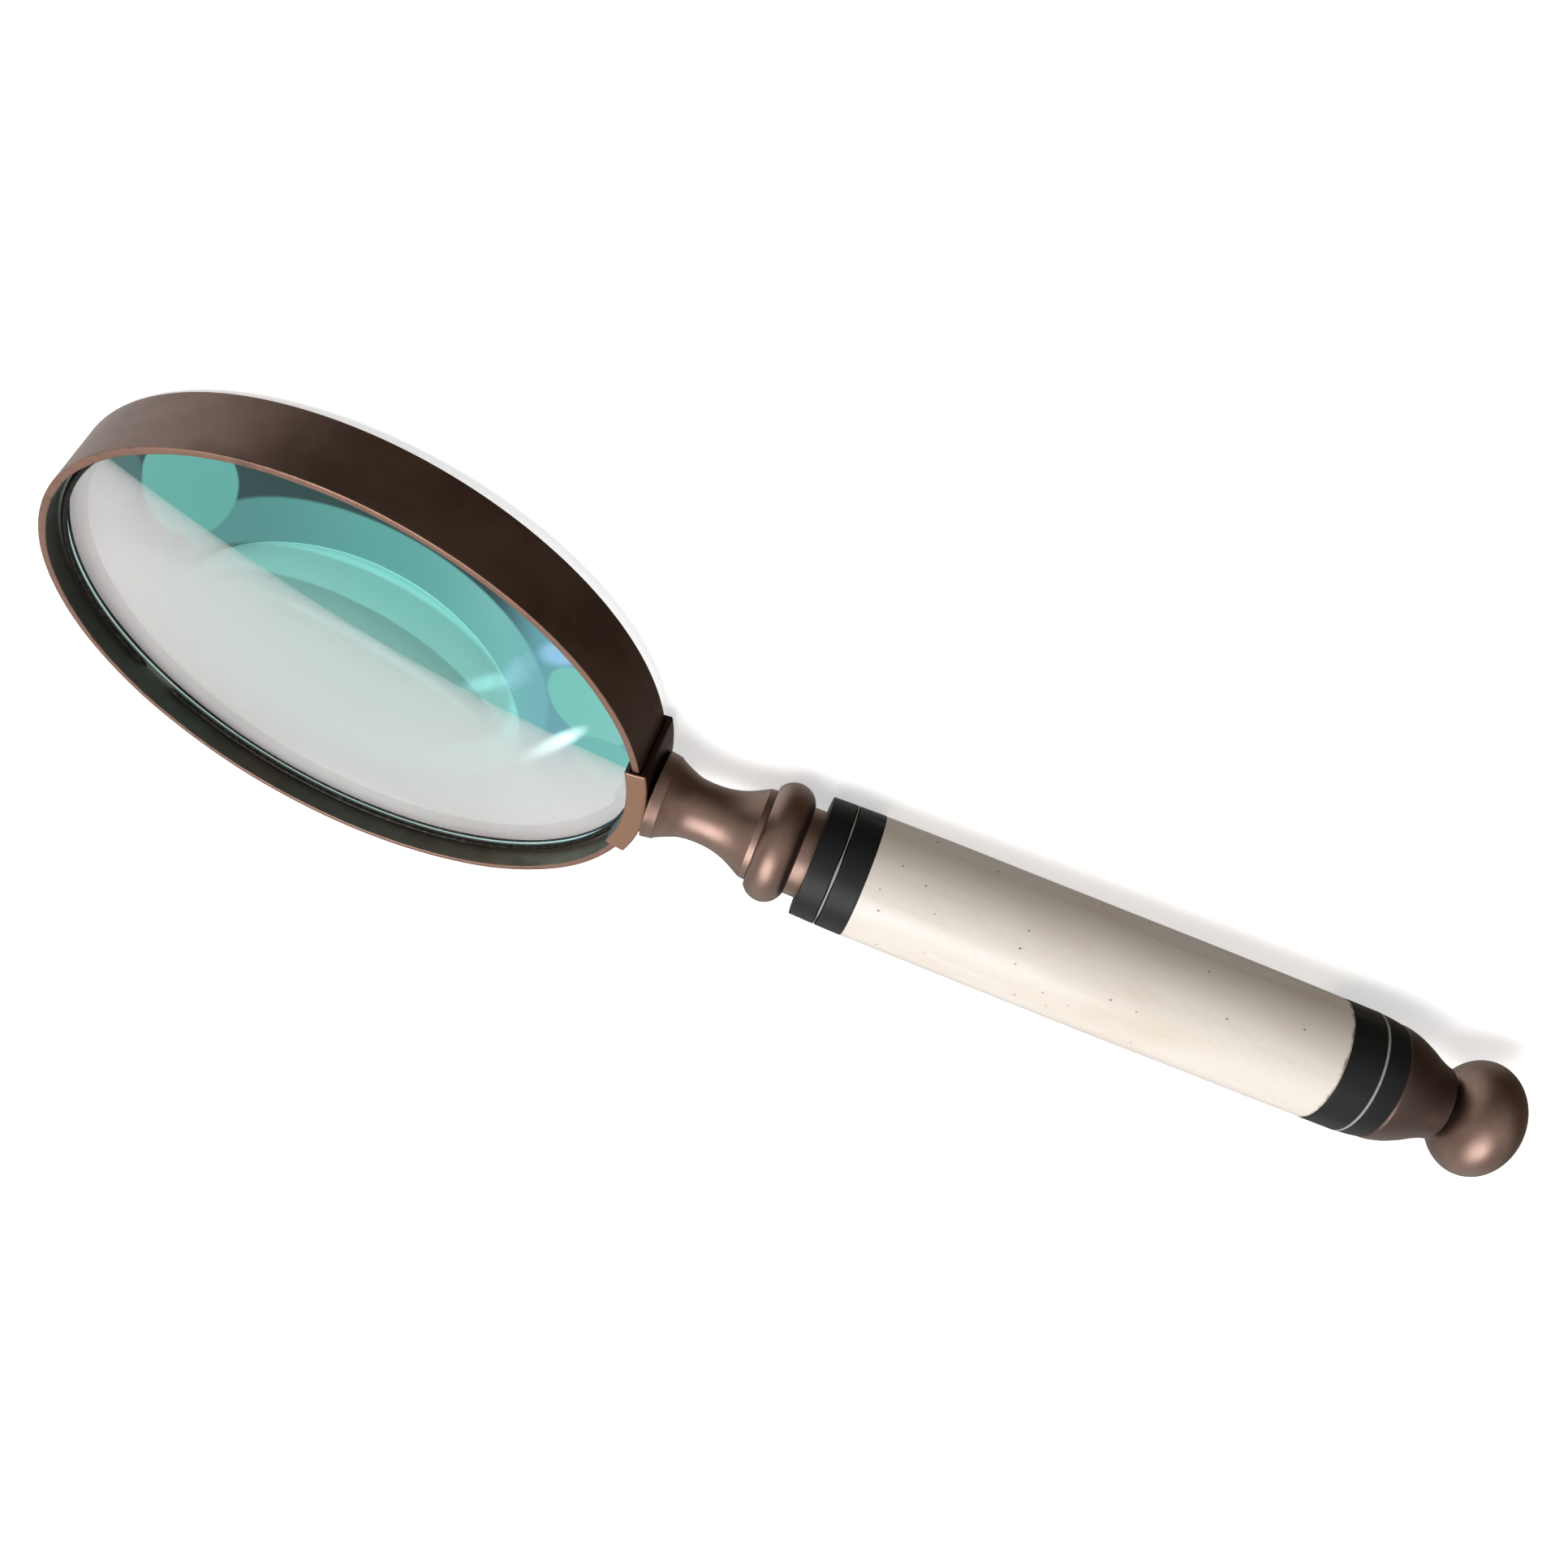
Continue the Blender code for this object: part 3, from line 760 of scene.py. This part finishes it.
@dataclass
class Head:
    """Lens, hoop, its two wires, the saddle and the neck.

    Attributes:
        hoop: The hoop's frame.
        handle: The handle's frame.
        radius: Outside of the hoop, in millimetres, as all sizes here.
        wall: Thickness of the strip.
        width: Width of the strip.
        edge: Rounding of the strip's edges.
        joint: Gap between the strip's ends.
        saddle_at: Angle of the saddle's middle in the hoop's frame, in degrees.
        saddle_half: Half of the saddle's arc, in degrees.
        lens_radius: Radius of the lens.
        lens_spheres: Radii of its front and its back face.
        lens_edge: Thickness at its edge.
        lens_bevel: Width of its ground bevels.
        lens_middle: Height of its middle plane.
        wire: Radius of the two wires.
        wire_clear: Gap between a wire and the hoop.
        wire_lift: Height of a wire's centre line over the face of the lens's edge.
        wire_opening: Arc of a wire's opening, in degrees.
        skin: Half width of the saddle.
        lip: Half width of the saddle's open side.
        slot: Radii of the inside and the outside of its slot.
        slot_half: Half width of its slot.
        saddle_round: Rounding of the saddle's ends.
        bead_at: Station of the middle of the bead.
        bead_root: Distance of the centre of the bead's arc from the handle's axis.
        bead_arc: Radius of that arc.
        spigot: Radius of the spigot.
        bore: Radius of the hole for the rod.
    """

    hoop: Place
    handle: Place
    radius: float = 50.8
    wall: float = 1.25
    width: float = 11.2
    edge: float = 0.25
    joint: float = 0.6
    saddle_at: float = 177.7
    saddle_half: float = 14.8
    lens_radius: float = 49.2
    lens_spheres: tuple[float, float] = (200.0, 300.0)
    lens_edge: float = 2.4
    lens_bevel: float = 0.4
    lens_middle: float = -0.3
    wire: float = 0.5
    wire_clear: float = 0.3
    wire_lift: float = 0.9
    wire_opening: float = 7.0
    skin: float = 6.2
    lip: float = 2.9
    slot: tuple[float, float] = (49.45, 50.9)
    slot_half: float = 5.7
    saddle_round: float = 0.22
    bead_at: float = 73.7
    bead_root: float = 6.67
    bead_arc: float = 3.56
    spigot: float = 7.5
    bore: float = 2.7

    def build(self) -> None:
        """Builds every piece and dresses it."""
        cast = SADDLE_BRASS.material(self.hoop)
        wire = WIRE.material(self.hoop)
        held = self.lens_edge / 2 + self.wire_lift
        settle(self.build_lens(), "lens", "head")
        settle(self.build_hoop(), "ring_band", "head", HOOP_BRASS.material(self.hoop))
        front = self.build_wire("front_wire", self.lens_middle + held, 35.0)
        settle(front, "front_retaining_ring", "head", wire)
        back = self.build_wire("back_wire", self.lens_middle - held, -35.0)
        settle(back, "back_retaining_ring", "head", wire)
        settle(self.build_saddle(), "saddle", "head", cast)
        settle(self.build_neck(), "neck", "head", TURNED_BRASS.material(self.handle))

    def build_lens(self) -> bpy.types.Object:
        """The lens: each face is part of a sphere, so its height falls from the middle by
        R - sqrt(R^2 - r^2), and two flat bevels meet the ground edge.

        Returns:
            The lens, with its bevels and its edge in their own finish.
        """
        radius = np.linspace(0.0, self.lens_radius - self.lens_bevel, 72)
        front, rear = (
            self.lens_edge / 2 + np.sqrt(sphere**2 - radius**2) - math.sqrt(sphere**2 - self.lens_radius**2)
            for sphere in self.lens_spheres
        )
        side = self.lens_edge / 2 - self.lens_bevel
        edge = np.array([[-side, self.lens_radius], [side, self.lens_radius]])
        back = np.stack((-rear, radius), axis=1)
        face = np.stack((front, radius), axis=1)[::-1]
        outline = np.vstack((back, edge, face)) + (self.lens_middle, 0.0)
        lens = turned("lens_blank", self.hoop, outline, False, around=288)
        lens.visible_shadow = False
        # The glass carries painted light, and its ground edge a painted glow.
        dress(lens, GLASS_WITH_PAINTED_LIGHT.material(self.hoop))
        lens.data.materials.append(GROUND_GLASS_PAINTED_GLOW.material(self.hoop))
        centres = np.zeros(len(lens.data.polygons) * 3)
        lens.data.polygons.foreach_get("center", centres)
        offset = centres.reshape(-1, 3) - np.array(self.hoop.location)
        from_axis = np.linalg.norm(offset @ self.hoop.axes()[:, :2], axis=1)
        ground = from_axis > (self.lens_radius - self.lens_bevel) * MM
        lens.data.polygons.foreach_set("material_index", ground.astype(np.int32))
        return lens

    def strip_corners(self) -> list[tuple[float, float, float]]:
        """Corners of the strip's section, as (height, radius, fillet)."""
        half, inside = self.width / 2, self.radius - self.wall
        return [(-half, self.radius, self.edge), (half, self.radius, self.edge), (half, inside, self.edge),
                (-half, inside, self.edge)]

    def build_hoop(self) -> bpy.types.Object:
        """The strip's section carried round the lens's axis from one side of the joint to the other.

        The front edge wavers: the wall thins and the edge drops a little, by slow sine waves.

        Returns:
            The hoop.
        """
        section = subdivided(filleted(self.strip_corners(), True), 0.4, True)
        gap = self.joint / self.radius / 2
        at = math.radians(self.saddle_at)
        angle = np.linspace(at + gap, at + 2 * math.pi - gap, 721)[:, None]
        height = np.repeat(section[None, :, 0], len(angle), axis=0)
        radius = np.repeat(section[None, :, 1], len(angle), axis=0)
        turn = np.repeat(angle, section.shape[0], axis=1)
        inner = np.clip((self.radius - radius) / self.wall, 0.0, 1.0)
        front = np.clip(height / (self.width / 2), 0.0, 1.0) ** 6
        thinned, dropped = 0.07, 0.05
        radius = radius + inner * front * thinned * ripple(0.0 * turn, turn, (0.0, 26.0), 3)
        height = height - front * dropped * (1.0 + ripple(0.0 * turn, turn, (0.0, 18.0), 5))
        points = np.stack((radius * np.cos(turn), radius * np.sin(turn), height), axis=-1)
        return grid_object("hoop_strip", self.hoop.to_world(points), False, True)

    def build_wire(self, name: str, height: float, opening_at: float) -> bpy.types.Object:
        """A round wire sprung open against the inside of the hoop: a small circle carried round a large
        one that stops short of closing, with its ends rounded off.

        Args:
            name: Name of the object.
            height: Height of its centre line.
            opening_at: Angle of the middle of its opening, in degrees.

        Returns:
            The object.
        """
        count, opening = 361, math.radians(self.wire_opening)
        centre = self.radius - self.wall - self.wire_clear - self.wire
        at = math.radians(opening_at)
        sweep = np.linspace(at + opening / 2, at + 2 * math.pi - opening / 2, count)
        from_end = np.minimum(np.arange(count), np.arange(count)[::-1]) / 2.0
        wire_radius = self.wire * np.sqrt(1 - (1 - np.clip(from_end, 0.05, 1.0)) ** 2)
        around = np.linspace(0.0, 2 * math.pi, 14, endpoint=False)
        ring = centre + wire_radius[:, None] * np.cos(around)
        rise = height + wire_radius[:, None] * np.sin(around)
        points = np.stack((ring * np.cos(sweep)[:, None], ring * np.sin(sweep)[:, None], rise), axis=-1)
        return grid_object(name, self.hoop.to_world(points), False, True, crease=60.0)

    def build_saddle(self) -> bpy.types.Object:
        """A channel section carried along the hoop. Near each end the section draws in by
        r - sqrt(r^2 - (r - s)^2), with s the distance from the end, which rounds the end's edges.

        Returns:
            The saddle.
        """
        back, front = 52.0, 48.4
        inner, outer = self.slot
        half = [(back, self.skin, 0.45), (front, self.skin, 0.35), (front, self.lip, 0.25),
                (inner, self.lip, 0.15), (inner, self.slot_half, 0.08), (outer, self.slot_half, 0.08)]
        lower = [(radius, -height, fillet) for radius, height, fillet in reversed(half)]
        section = subdivided(filleted(half + lower, True), 0.45, True)
        tangent = np.roll(section, -1, axis=0) - np.roll(section, 1, axis=0)
        inward = np.stack((-tangent[:, 1], tangent[:, 0]), axis=1)
        inward /= np.linalg.norm(inward, axis=1, keepdims=True)
        rounding = self.saddle_round
        length = 2 * math.radians(self.saddle_half) * back
        near = rounding * (1 - np.cos(np.linspace(0.0, math.pi / 2, 7)))
        middle = np.linspace(rounding, length - rounding, 90)[1:-1]
        along = np.concatenate((near, middle, length - near[::-1]))
        from_end = np.minimum(along, length - along)
        short = np.clip(rounding - from_end, 0.0, rounding)
        draw = rounding - np.sqrt(rounding**2 - short**2)
        points = section[None] + draw[:, None, None] * inward[None]
        angle = (math.radians(self.saddle_at) + (along - length / 2) / back)[:, None]
        radius, height = points[..., 0], points[..., 1]
        grid = np.stack((radius * np.cos(angle), radius * np.sin(angle), height), axis=-1)
        return grid_object("saddle_cast", self.hoop.to_world(grid), False, True)

    def build_neck(self) -> bpy.types.Object:
        """The neck: collar, trumpet, fillet, bead and spigot in one turned outline. The bead is an arc
        about a centre off the axis, from the fillet round to where it meets the spigot.

        Returns:
            The neck.
        """
        trumpet = smooth_curve([(54.36, 6.92), (56.0, 6.12), (58.4, 5.26), (61.3, 5.08), (64.0, 5.38),
                                (66.5, 6.17), (69.3, 7.6)], 10)
        bead_start, recess = 70.62, 64.5
        first = math.acos((bead_start - self.bead_at) / self.bead_arc)
        last = math.asin((self.spigot - self.bead_root) / self.bead_arc)
        sweep = np.linspace(first, last, 48)
        bead_station = self.bead_at + self.bead_arc * np.cos(sweep)
        bead = np.stack((bead_station, self.bead_root + self.bead_arc * np.sin(sweep)), axis=1)
        start = [(52.02, 0.0, 0.0), (52.02, 2.4, 0.0), (52.15, 2.4, 0.0), (52.15, 7.36, 0.06),
                 (52.3, 7.42, 0.06), (54.22, 7.12, 0.08), (54.3, 6.95, 0.0)]
        ridge = [(69.3, 7.6, 0.0), (69.42, 7.68, 0.05), (70.45, 7.8, 0.04), (70.56, 7.72, 0.0)]
        end = [(77.2, self.spigot, 0.0), (81.2, self.spigot, 0.1), (81.2, self.bore, 0.0),
               (recess, self.bore, 0.0), (recess, 0.0, 0.0)]
        pieces = (filleted(start, False), trumpet, filleted(ridge, False), bead, filleted(end, False))
        outline = subdivided(np.vstack(pieces), 0.5, False)

        def handwork(station: np.ndarray, radius: np.ndarray,
                     angle: np.ndarray) -> tuple[np.ndarray, np.ndarray]:
            """A burr on the collar's front edge, as high as a bell curve about its station, and slight
            unevenness along the neck. What lies inside is left alone.

            Args:
                station: Stations, in millimetres.
                radius: Radii, in millimetres.
                angle: Angles, in radians.

            Returns:
                The stations, and the new radii.
            """
            burr_at, burr_width, burr_height, depth, inside = 52.25, 0.12, 0.05, 0.02, 5.0
            bell = np.exp(-(((station - burr_at) / burr_width) ** 2))
            burr = bell * burr_height * ripple(0 * angle, angle, (0.0, 34.0), 8)
            uneven = depth * ripple(station, angle, (0.12, 4.0), 12)
            return station, radius + np.where(radius > inside, burr + uneven - depth, 0.0)

        return turned("neck_turned", self.handle, outline, False, 288, handwork)


@dataclass
class Handle:
    """Horn collars, fibre spacers, bone, end cap, and the rod that holds them together.

    Attributes:
        place: The handle's frame.
        bore: Radius of the hole that the rod passes through.
        horn: Radius at the front of the horn.
        bone: Radius of the bone at its ends.
        flat: Distance of the scraped flat from the axis.
        flat_at: Angle of the flat's middle, in degrees from straight up.
        gap: Gap between neighbours in the stack.
        first_at: Station where the first collar starts.
        front_spacer_at: Station where the front spacer starts.
        second_at: Station where the second collar starts.
        bone_at: Station where the bone starts.
        third_at: Station where the third collar starts.
        rear_spacer_at: Station where the rear spacer starts.
        last_at: Station where the last collar starts.
        cap_at: Station where the end cap starts.
    """

    place: Place
    bore: float = 2.7
    horn: float = 10.25
    bone: float = 10.45
    flat: float = 10.33
    flat_at: float = -122.0
    gap: float = 0.08
    first_at: float = 79.35
    front_spacer_at: float = 83.4
    second_at: float = 83.88
    bone_at: float = 88.4
    third_at: float = 169.18
    rear_spacer_at: float = 174.8
    last_at: float = 175.28
    cap_at: float = 179.1

    def sleeve(self, name: str, outside: Sequence[tuple[float, float, float]], bore: float, step: float = 0.5,
               change: Change | None = None) -> bpy.types.Object:
        """A turned piece with a plain bore.

        Args:
            name: Name of the object.
            outside: Its outer outline, as (station, radius, fillet).
            bore: Radius of the bore.
            step: Longest span along it.
            change: Moves its points, as turned() says.

        Returns:
            The object.
        """
        loop = [*outside, (outside[-1][0], bore, 0.0), (outside[0][0], bore, 0.0)]
        return turned(name, self.place, subdivided(filleted(loop, True), step, True), True, 256, change)

    def uneven(self, depth: float, waves: tuple[float, float], seed: int) -> Change:
        """Gives a change that lowers the outside by slow waves, up to twice a depth, and scrapes it flat on
        one side: no point reaches further than the flat's distance from the axis, which at an angle a from
        the flat's middle allows a radius of that distance over cos a.

        Args:
            depth: Half of the deepest hollow.
            waves: As ripple() takes them.
            seed: Seed of the waves.

        Returns:
            The change.
        """
        def change(station: np.ndarray, radius: np.ndarray,
                   angle: np.ndarray) -> tuple[np.ndarray, np.ndarray]:
            """Lowers the outside and leaves the bore alone.

            Args:
                station: Stations, in millimetres.
                radius: Radii, in millimetres.
                angle: Angles, in radians.

            Returns:
                The stations, and the new radii.
            """
            inside, away = 8.0, 0.5
            lowered = radius + depth * (ripple(station, angle, waves, seed) - 1.0)
            facing = np.cos(angle - math.radians(self.flat_at))
            scraped = np.minimum(lowered, self.flat / np.maximum(facing, away))
            return station, np.where(radius > inside, scraped, radius)

        return change

    def filed(self, seed: int) -> Change:
        """Gives the change for a horn collar: slow waves 0.04 mm deep."""
        return self.uneven(0.02, (0.1, 5.0), seed)

    def collar(self, name: str, outside: Sequence[tuple[float, float, float]], seed: int) -> bpy.types.Object:
        """A horn collar with a plain bore, its outside given as sleeve() takes it."""
        return self.sleeve(name, outside, self.bore, change=self.filed(seed))

    def build(self, nodes: dict[str, bpy.types.Object]) -> None:
        """Builds every piece and dresses it.

        Args:
            nodes: The CAD nodes, of which the rod, its washer and nut and the core are kept.
        """
        horn, bone, fibre = (finish.material(self.place) for finish in (HORN, BONE, FIBRE))
        second = [(self.second_at, 10.35, 0.12), (self.bone_at - self.gap, self.bone, 0.12)]
        third = [(self.third_at, self.bone, 0.12), (self.rear_spacer_at - self.gap, 10.4, 0.12)]
        spacer = [(self.rear_spacer_at, 10.4, 0.05), (self.last_at - self.gap, 10.38, 0.05)]
        last = [(self.last_at, 10.35, 0.12), (177.2, 10.2, 1.2), (self.cap_at - self.gap, 9.9, 0.1)]
        pieces = [
            (self.build_first_collar(), "front_horn_collar_outer", "horn", horn),
            (self.build_front_spacer(), "front_spacer", "spacer_fibre", fibre),
            (self.collar("front_collar_inner", second, 21), "front_horn_collar_inner", "horn", horn),
            (self.build_bone(), "bone_sleeve", "bone", bone),
            (self.collar("rear_collar_inner", third, 22), "rear_horn_collar_inner", "horn", horn),
            (self.sleeve("rear_fibre", spacer, self.bore), "rear_spacer", "spacer_fibre", fibre),
            (self.collar("rear_collar_outer", last, 23), "rear_horn_collar_outer", "horn", horn),
            (self.build_cap(), "end_cap", "neck_brass", CAP_BRASS.material(self.place)),
        ]
        for piece, node, slot, material in pieces:
            settle(piece, node, "handle", material)
        steel, wood = STEEL.material(self.place), WOOD.material(self.place)
        kept = {"tie_rod": steel, "rod_washer": steel, "rod_nut": steel, "bone_core": wood}
        for name, material in kept.items():
            dress(nodes[name], material)
            log.info("%s: kept", name)

    def build_first_collar(self) -> bpy.types.Object:
        """The first horn collar, recessed for the neck's spigot.

        Returns:
            The collar.
        """
        end, step, recess = self.front_spacer_at - self.gap, 81.4, 7.75
        loop = [(self.first_at, self.horn - 0.05, 0.15), (end, self.horn + 0.1, 0.12), (end, self.bore, 0.0),
                (step, self.bore, 0.0), (step, recess, 0.0), (self.first_at, recess, 0.15)]
        outline = subdivided(filleted(loop, True), 0.5, True)
        return turned("front_collar_outer", self.place, outline, True, change=self.filed(20))

    def build_front_spacer(self) -> bpy.types.Object:
        """The front spacer, squeezed unevenly: its two faces waver along the handle by slow waves.

        Returns:
            The spacer.
        """
        start, end = self.front_spacer_at, self.second_at - self.gap
        middle, waver, thinner = (start + end) / 2, 0.12, 0.6

        def squeezed(station: np.ndarray, radius: np.ndarray,
                     angle: np.ndarray) -> tuple[np.ndarray, np.ndarray]:
            """Moves each face of the spacer along the handle."""
            wave = ripple(0 * angle, angle, (0.0, 9.0), 31) - thinner
            return station + np.sign(station - middle) * waver * wave, radius

        outside = [(start, 10.35, 0.05), (end, 10.35, 0.05)]
        return self.sleeve("front_fibre", outside, self.bore, change=squeezed)

    def build_bone(self) -> bpy.types.Object:
        """The bone: it swells by 0.15 mm times the sine of its share of its length, and its outside is
        uneven by slow waves along and round it.

        Returns:
            The bone.
        """
        swell, corner, hollow = 0.15, 0.12, 6.15
        share = np.linspace(0.0, 1.0, 41)
        station = self.bone_at + (self.third_at - self.gap - self.bone_at) * share
        radius = self.bone + swell * np.sin(math.pi * share)
        fillet = np.where((share == 0.0) | (share == 1.0), corner, 0.0)
        outside = list(zip(station, radius, fillet))
        return self.sleeve("bone_turned", outside, hollow, 0.8, self.uneven(0.05, (0.05, 4.0), 40))

    def build_cap(self) -> bpy.types.Object:
        """The end cap: a bulge that narrows to a rim, with a well behind for the nut.

        Returns:
            The cap.
        """
        rim, floor, well = 189.4, 184.6, 5.1
        slope = smooth_curve([(181.7, 9.5), (182.9, 9.12), (184.9, 8.24), (186.9, 7.17), (188.4, 6.52),
                              (189.25, 6.27)], 8)
        start = [(self.cap_at, 9.7, 0.0), (179.4, 9.9, 0.25), (180.5, 9.8, 0.6), (181.7, 9.5, 0.0)]
        end = [(189.25, 6.27, 0.0), (rim, 6.2, 0.08), (rim, well, 0.0), (floor, well, 0.0),
               (floor, self.bore, 0.0), (self.cap_at, self.bore, 0.0)]
        outline = np.vstack((filleted(start, False), slope, filleted(end, False)))
        return turned("end_cap_turned", self.place, subdivided(outline, 0.5, True), True)


@dataclass
class Finial:
    """The flattened ball at the end.

    Attributes:
        place: The handle's frame.
        centre: Station of its centre.
        radius: Its radius across the handle.
        half_length: Its half length along the handle.
        seat: Radius of the flat by which it sits on the cap.
        bore: Radius of the hole for the rod.
        bore_end: Station where that hole ends.
    """

    place: Place
    centre: float = 196.4
    radius: float = 9.77
    half_length: float = 6.8
    seat: float = 3.6
    bore: float = 2.7
    bore_end: float = 197.5

    def build(self) -> None:
        """Builds the ball and dresses it: an ellipse turned about the handle's axis, with a blind bore."""
        first = math.pi - math.asin(self.seat / self.radius)
        angle = np.linspace(first, 0.0, 96)
        ball = np.stack((self.centre + self.half_length * np.cos(angle), self.radius * np.sin(angle)), axis=1)
        start = self.centre + self.half_length * math.cos(first)
        bore = np.array([(self.bore_end, 0.0), (self.bore_end, self.bore), (start, self.bore)])
        outline = subdivided(np.vstack((bore, ball)), 0.6, False)
        ball_object = turned("ball_turned", self.place, outline, False, 288)
        settle(ball_object, "ball_finial", "finial", TURNED_BRASS.material(self.place))


# ---------------------------------------------------------------------------------------------- studio


@dataclass(frozen=True)
class Glow:
    """One soft region of light in the studio's surroundings.

    Attributes:
        towards: Direction of its middle.
        start: Cosine of the angle from its middle at which it begins.
        full: Cosine of the angle within which it is full.
        strength: How bright it is.
        colour: Its colour, sRGB hex.
    """

    towards: tuple[float, float, float]
    start: float
    full: float
    strength: float
    colour: str = "#ffffff"


@dataclass
class Studio:
    """Floor, surroundings and camera.

    Attributes:
        glows: The soft regions of light: the lamp overhead, the room, the walls behind and in front, and what
            a table sends up at the lens's end and from underneath.
        ambient: Linear colour of the rest of the room, a little warm.
        eye: The camera's place, in metres.
        view: The direction it looks in.
        up: The direction that is up in the image.
        focal: Focal length in millimetres, for a sensor 36 mm wide.
        shift: Horizontal and vertical shift.
    """

    glows: tuple[Glow, ...] = (
        Glow((0.2, -0.08, 0.97), 0.866, 0.97, 4.1),
        Glow((0.0, 0.0, 1.0), -0.02, 0.42, 0.34),
        Glow((0.0, 1.0, 0.1), 0.3, 0.95, 0.25),
        Glow((0.0, -0.8, 0.6), 0.3, 0.95, 0.22),
        Glow((0.9, 0.1, -0.42), 0.55, 0.95, 0.9),
        Glow((0.0, 0.3, -0.95), 0.8, 0.98, 0.25),
    )
    ambient: tuple[float, float, float] = (0.11, 0.085, 0.06)
    eye: tuple[float, float, float] = (0.0080, -0.2068, 0.1228)
    view: tuple[float, float, float] = (-0.026, 0.881, -0.4715)
    up: tuple[float, float, float] = (0.349, -0.434, -0.830)
    focal: float = 33.23
    shift: tuple[float, float] = (0.0033, 0.0441)

    def build(self) -> None:
        """Adds everything."""
        self.build_floor()
        self.build_world()
        self.build_camera()
        bpy.context.scene.view_settings.view_transform = "Standard"

    def build_floor(self) -> None:
        """A plain pale floor, far wider than the view. It glows a little, which softens the shadows, and it
        sends no light up, so that the glass stays dark underneath."""
        half = 6.0
        corners = half * np.array([[-1, -1, 0], [1, -1, 0], [1, 1, 0], [-1, 1, 0]], float)
        mesh = bpy.data.meshes.new("floor")
        mesh.from_pydata(corners, [], [(0, 1, 2, 3)])
        floor = bpy.data.objects.new("floor", mesh)
        bpy.context.scene.collection.objects.link(floor)
        floor.visible_glossy = floor.visible_diffuse = False
        light_table = {"Emission Color": linear("#ffffff"), "Emission Strength": 0.5}
        paper = Finish("floor_light_table", "#f4f4f4", 0.9, (), light_table)
        dress(floor, paper.material(Place.at(Vector(), Matrix.Identity(3))))

    def build_world(self) -> None:
        """Surroundings that light the glass: each glow is a smooth step of the cosine between a direction
        and the glow's middle. The background itself is plain white."""
        world = bpy.data.worlds.new("studio")
        bpy.context.scene.world = world
        world.use_nodes = True
        tree = world.node_tree
        direction = add_node(tree, "ShaderNodeTexCoord", {}).outputs["Generated"]
        light: Any = self.ambient
        for glow in self.glows:
            middle = Vector(glow.towards).normalized()
            pair = {0: direction, 1: middle}
            cosine = add_node(tree, "ShaderNodeVectorMath", pair, operation="DOT_PRODUCT")
            span = {"Value": cosine.outputs["Value"], 1: glow.start, 2: glow.full, 3: 0.0, 4: glow.strength}
            step = add_node(tree, "ShaderNodeMapRange", span, interpolation_type="SMOOTHSTEP").outputs[0]
            terms = {0: step, 1: linear(glow.colour)[:3], 2: light}
            light = add_node(tree, "ShaderNodeVectorMath", terms, operation="MULTIPLY_ADD").outputs[0]
        surroundings = add_node(tree, "ShaderNodeBackground", {"Color": light})
        plain = add_node(tree, "ShaderNodeBackground", {"Color": linear("#ffffff")})
        seen = add_node(tree, "ShaderNodeLightPath", {}).outputs["Is Camera Ray"]
        choice = {0: seen, 1: surroundings.outputs[0], 2: plain.outputs[0]}
        mixed = add_node(tree, "ShaderNodeMixShader", choice)
        tree.links.new(mixed.outputs[0], tree.nodes["World Output"].inputs["Surface"])

    def build_camera(self) -> None:
        """The camera, with its axes worked out from the view direction and from what is up."""
        data = bpy.data.cameras.new("camera")
        data.lens, data.sensor_width = self.focal, 36.0
        data.shift_x, data.shift_y = self.shift
        data.clip_start = 0.01
        camera = bpy.data.objects.new("camera", data)
        bpy.context.scene.collection.objects.link(camera)
        back = -Vector(self.view).normalized()
        right = Vector(self.up).cross(back).normalized()
        turn = Matrix((right, back.cross(right), back)).transposed().to_4x4()
        camera.matrix_world = Matrix.Translation(self.eye) @ turn
        bpy.context.scene.camera = camera


def main() -> None:
    """Builds the sub-assemblies in order, then the studio."""
    logging.basicConfig(level=logging.INFO, format="%(message)s")
    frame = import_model()
    hoop, handle = find_places(frame["joints"][0])
    Head(hoop, handle).build()
    Handle(handle).build(frame["nodes"])
    Finial(handle).build()
    Studio().build()


if __name__ == "__main__":
    main()
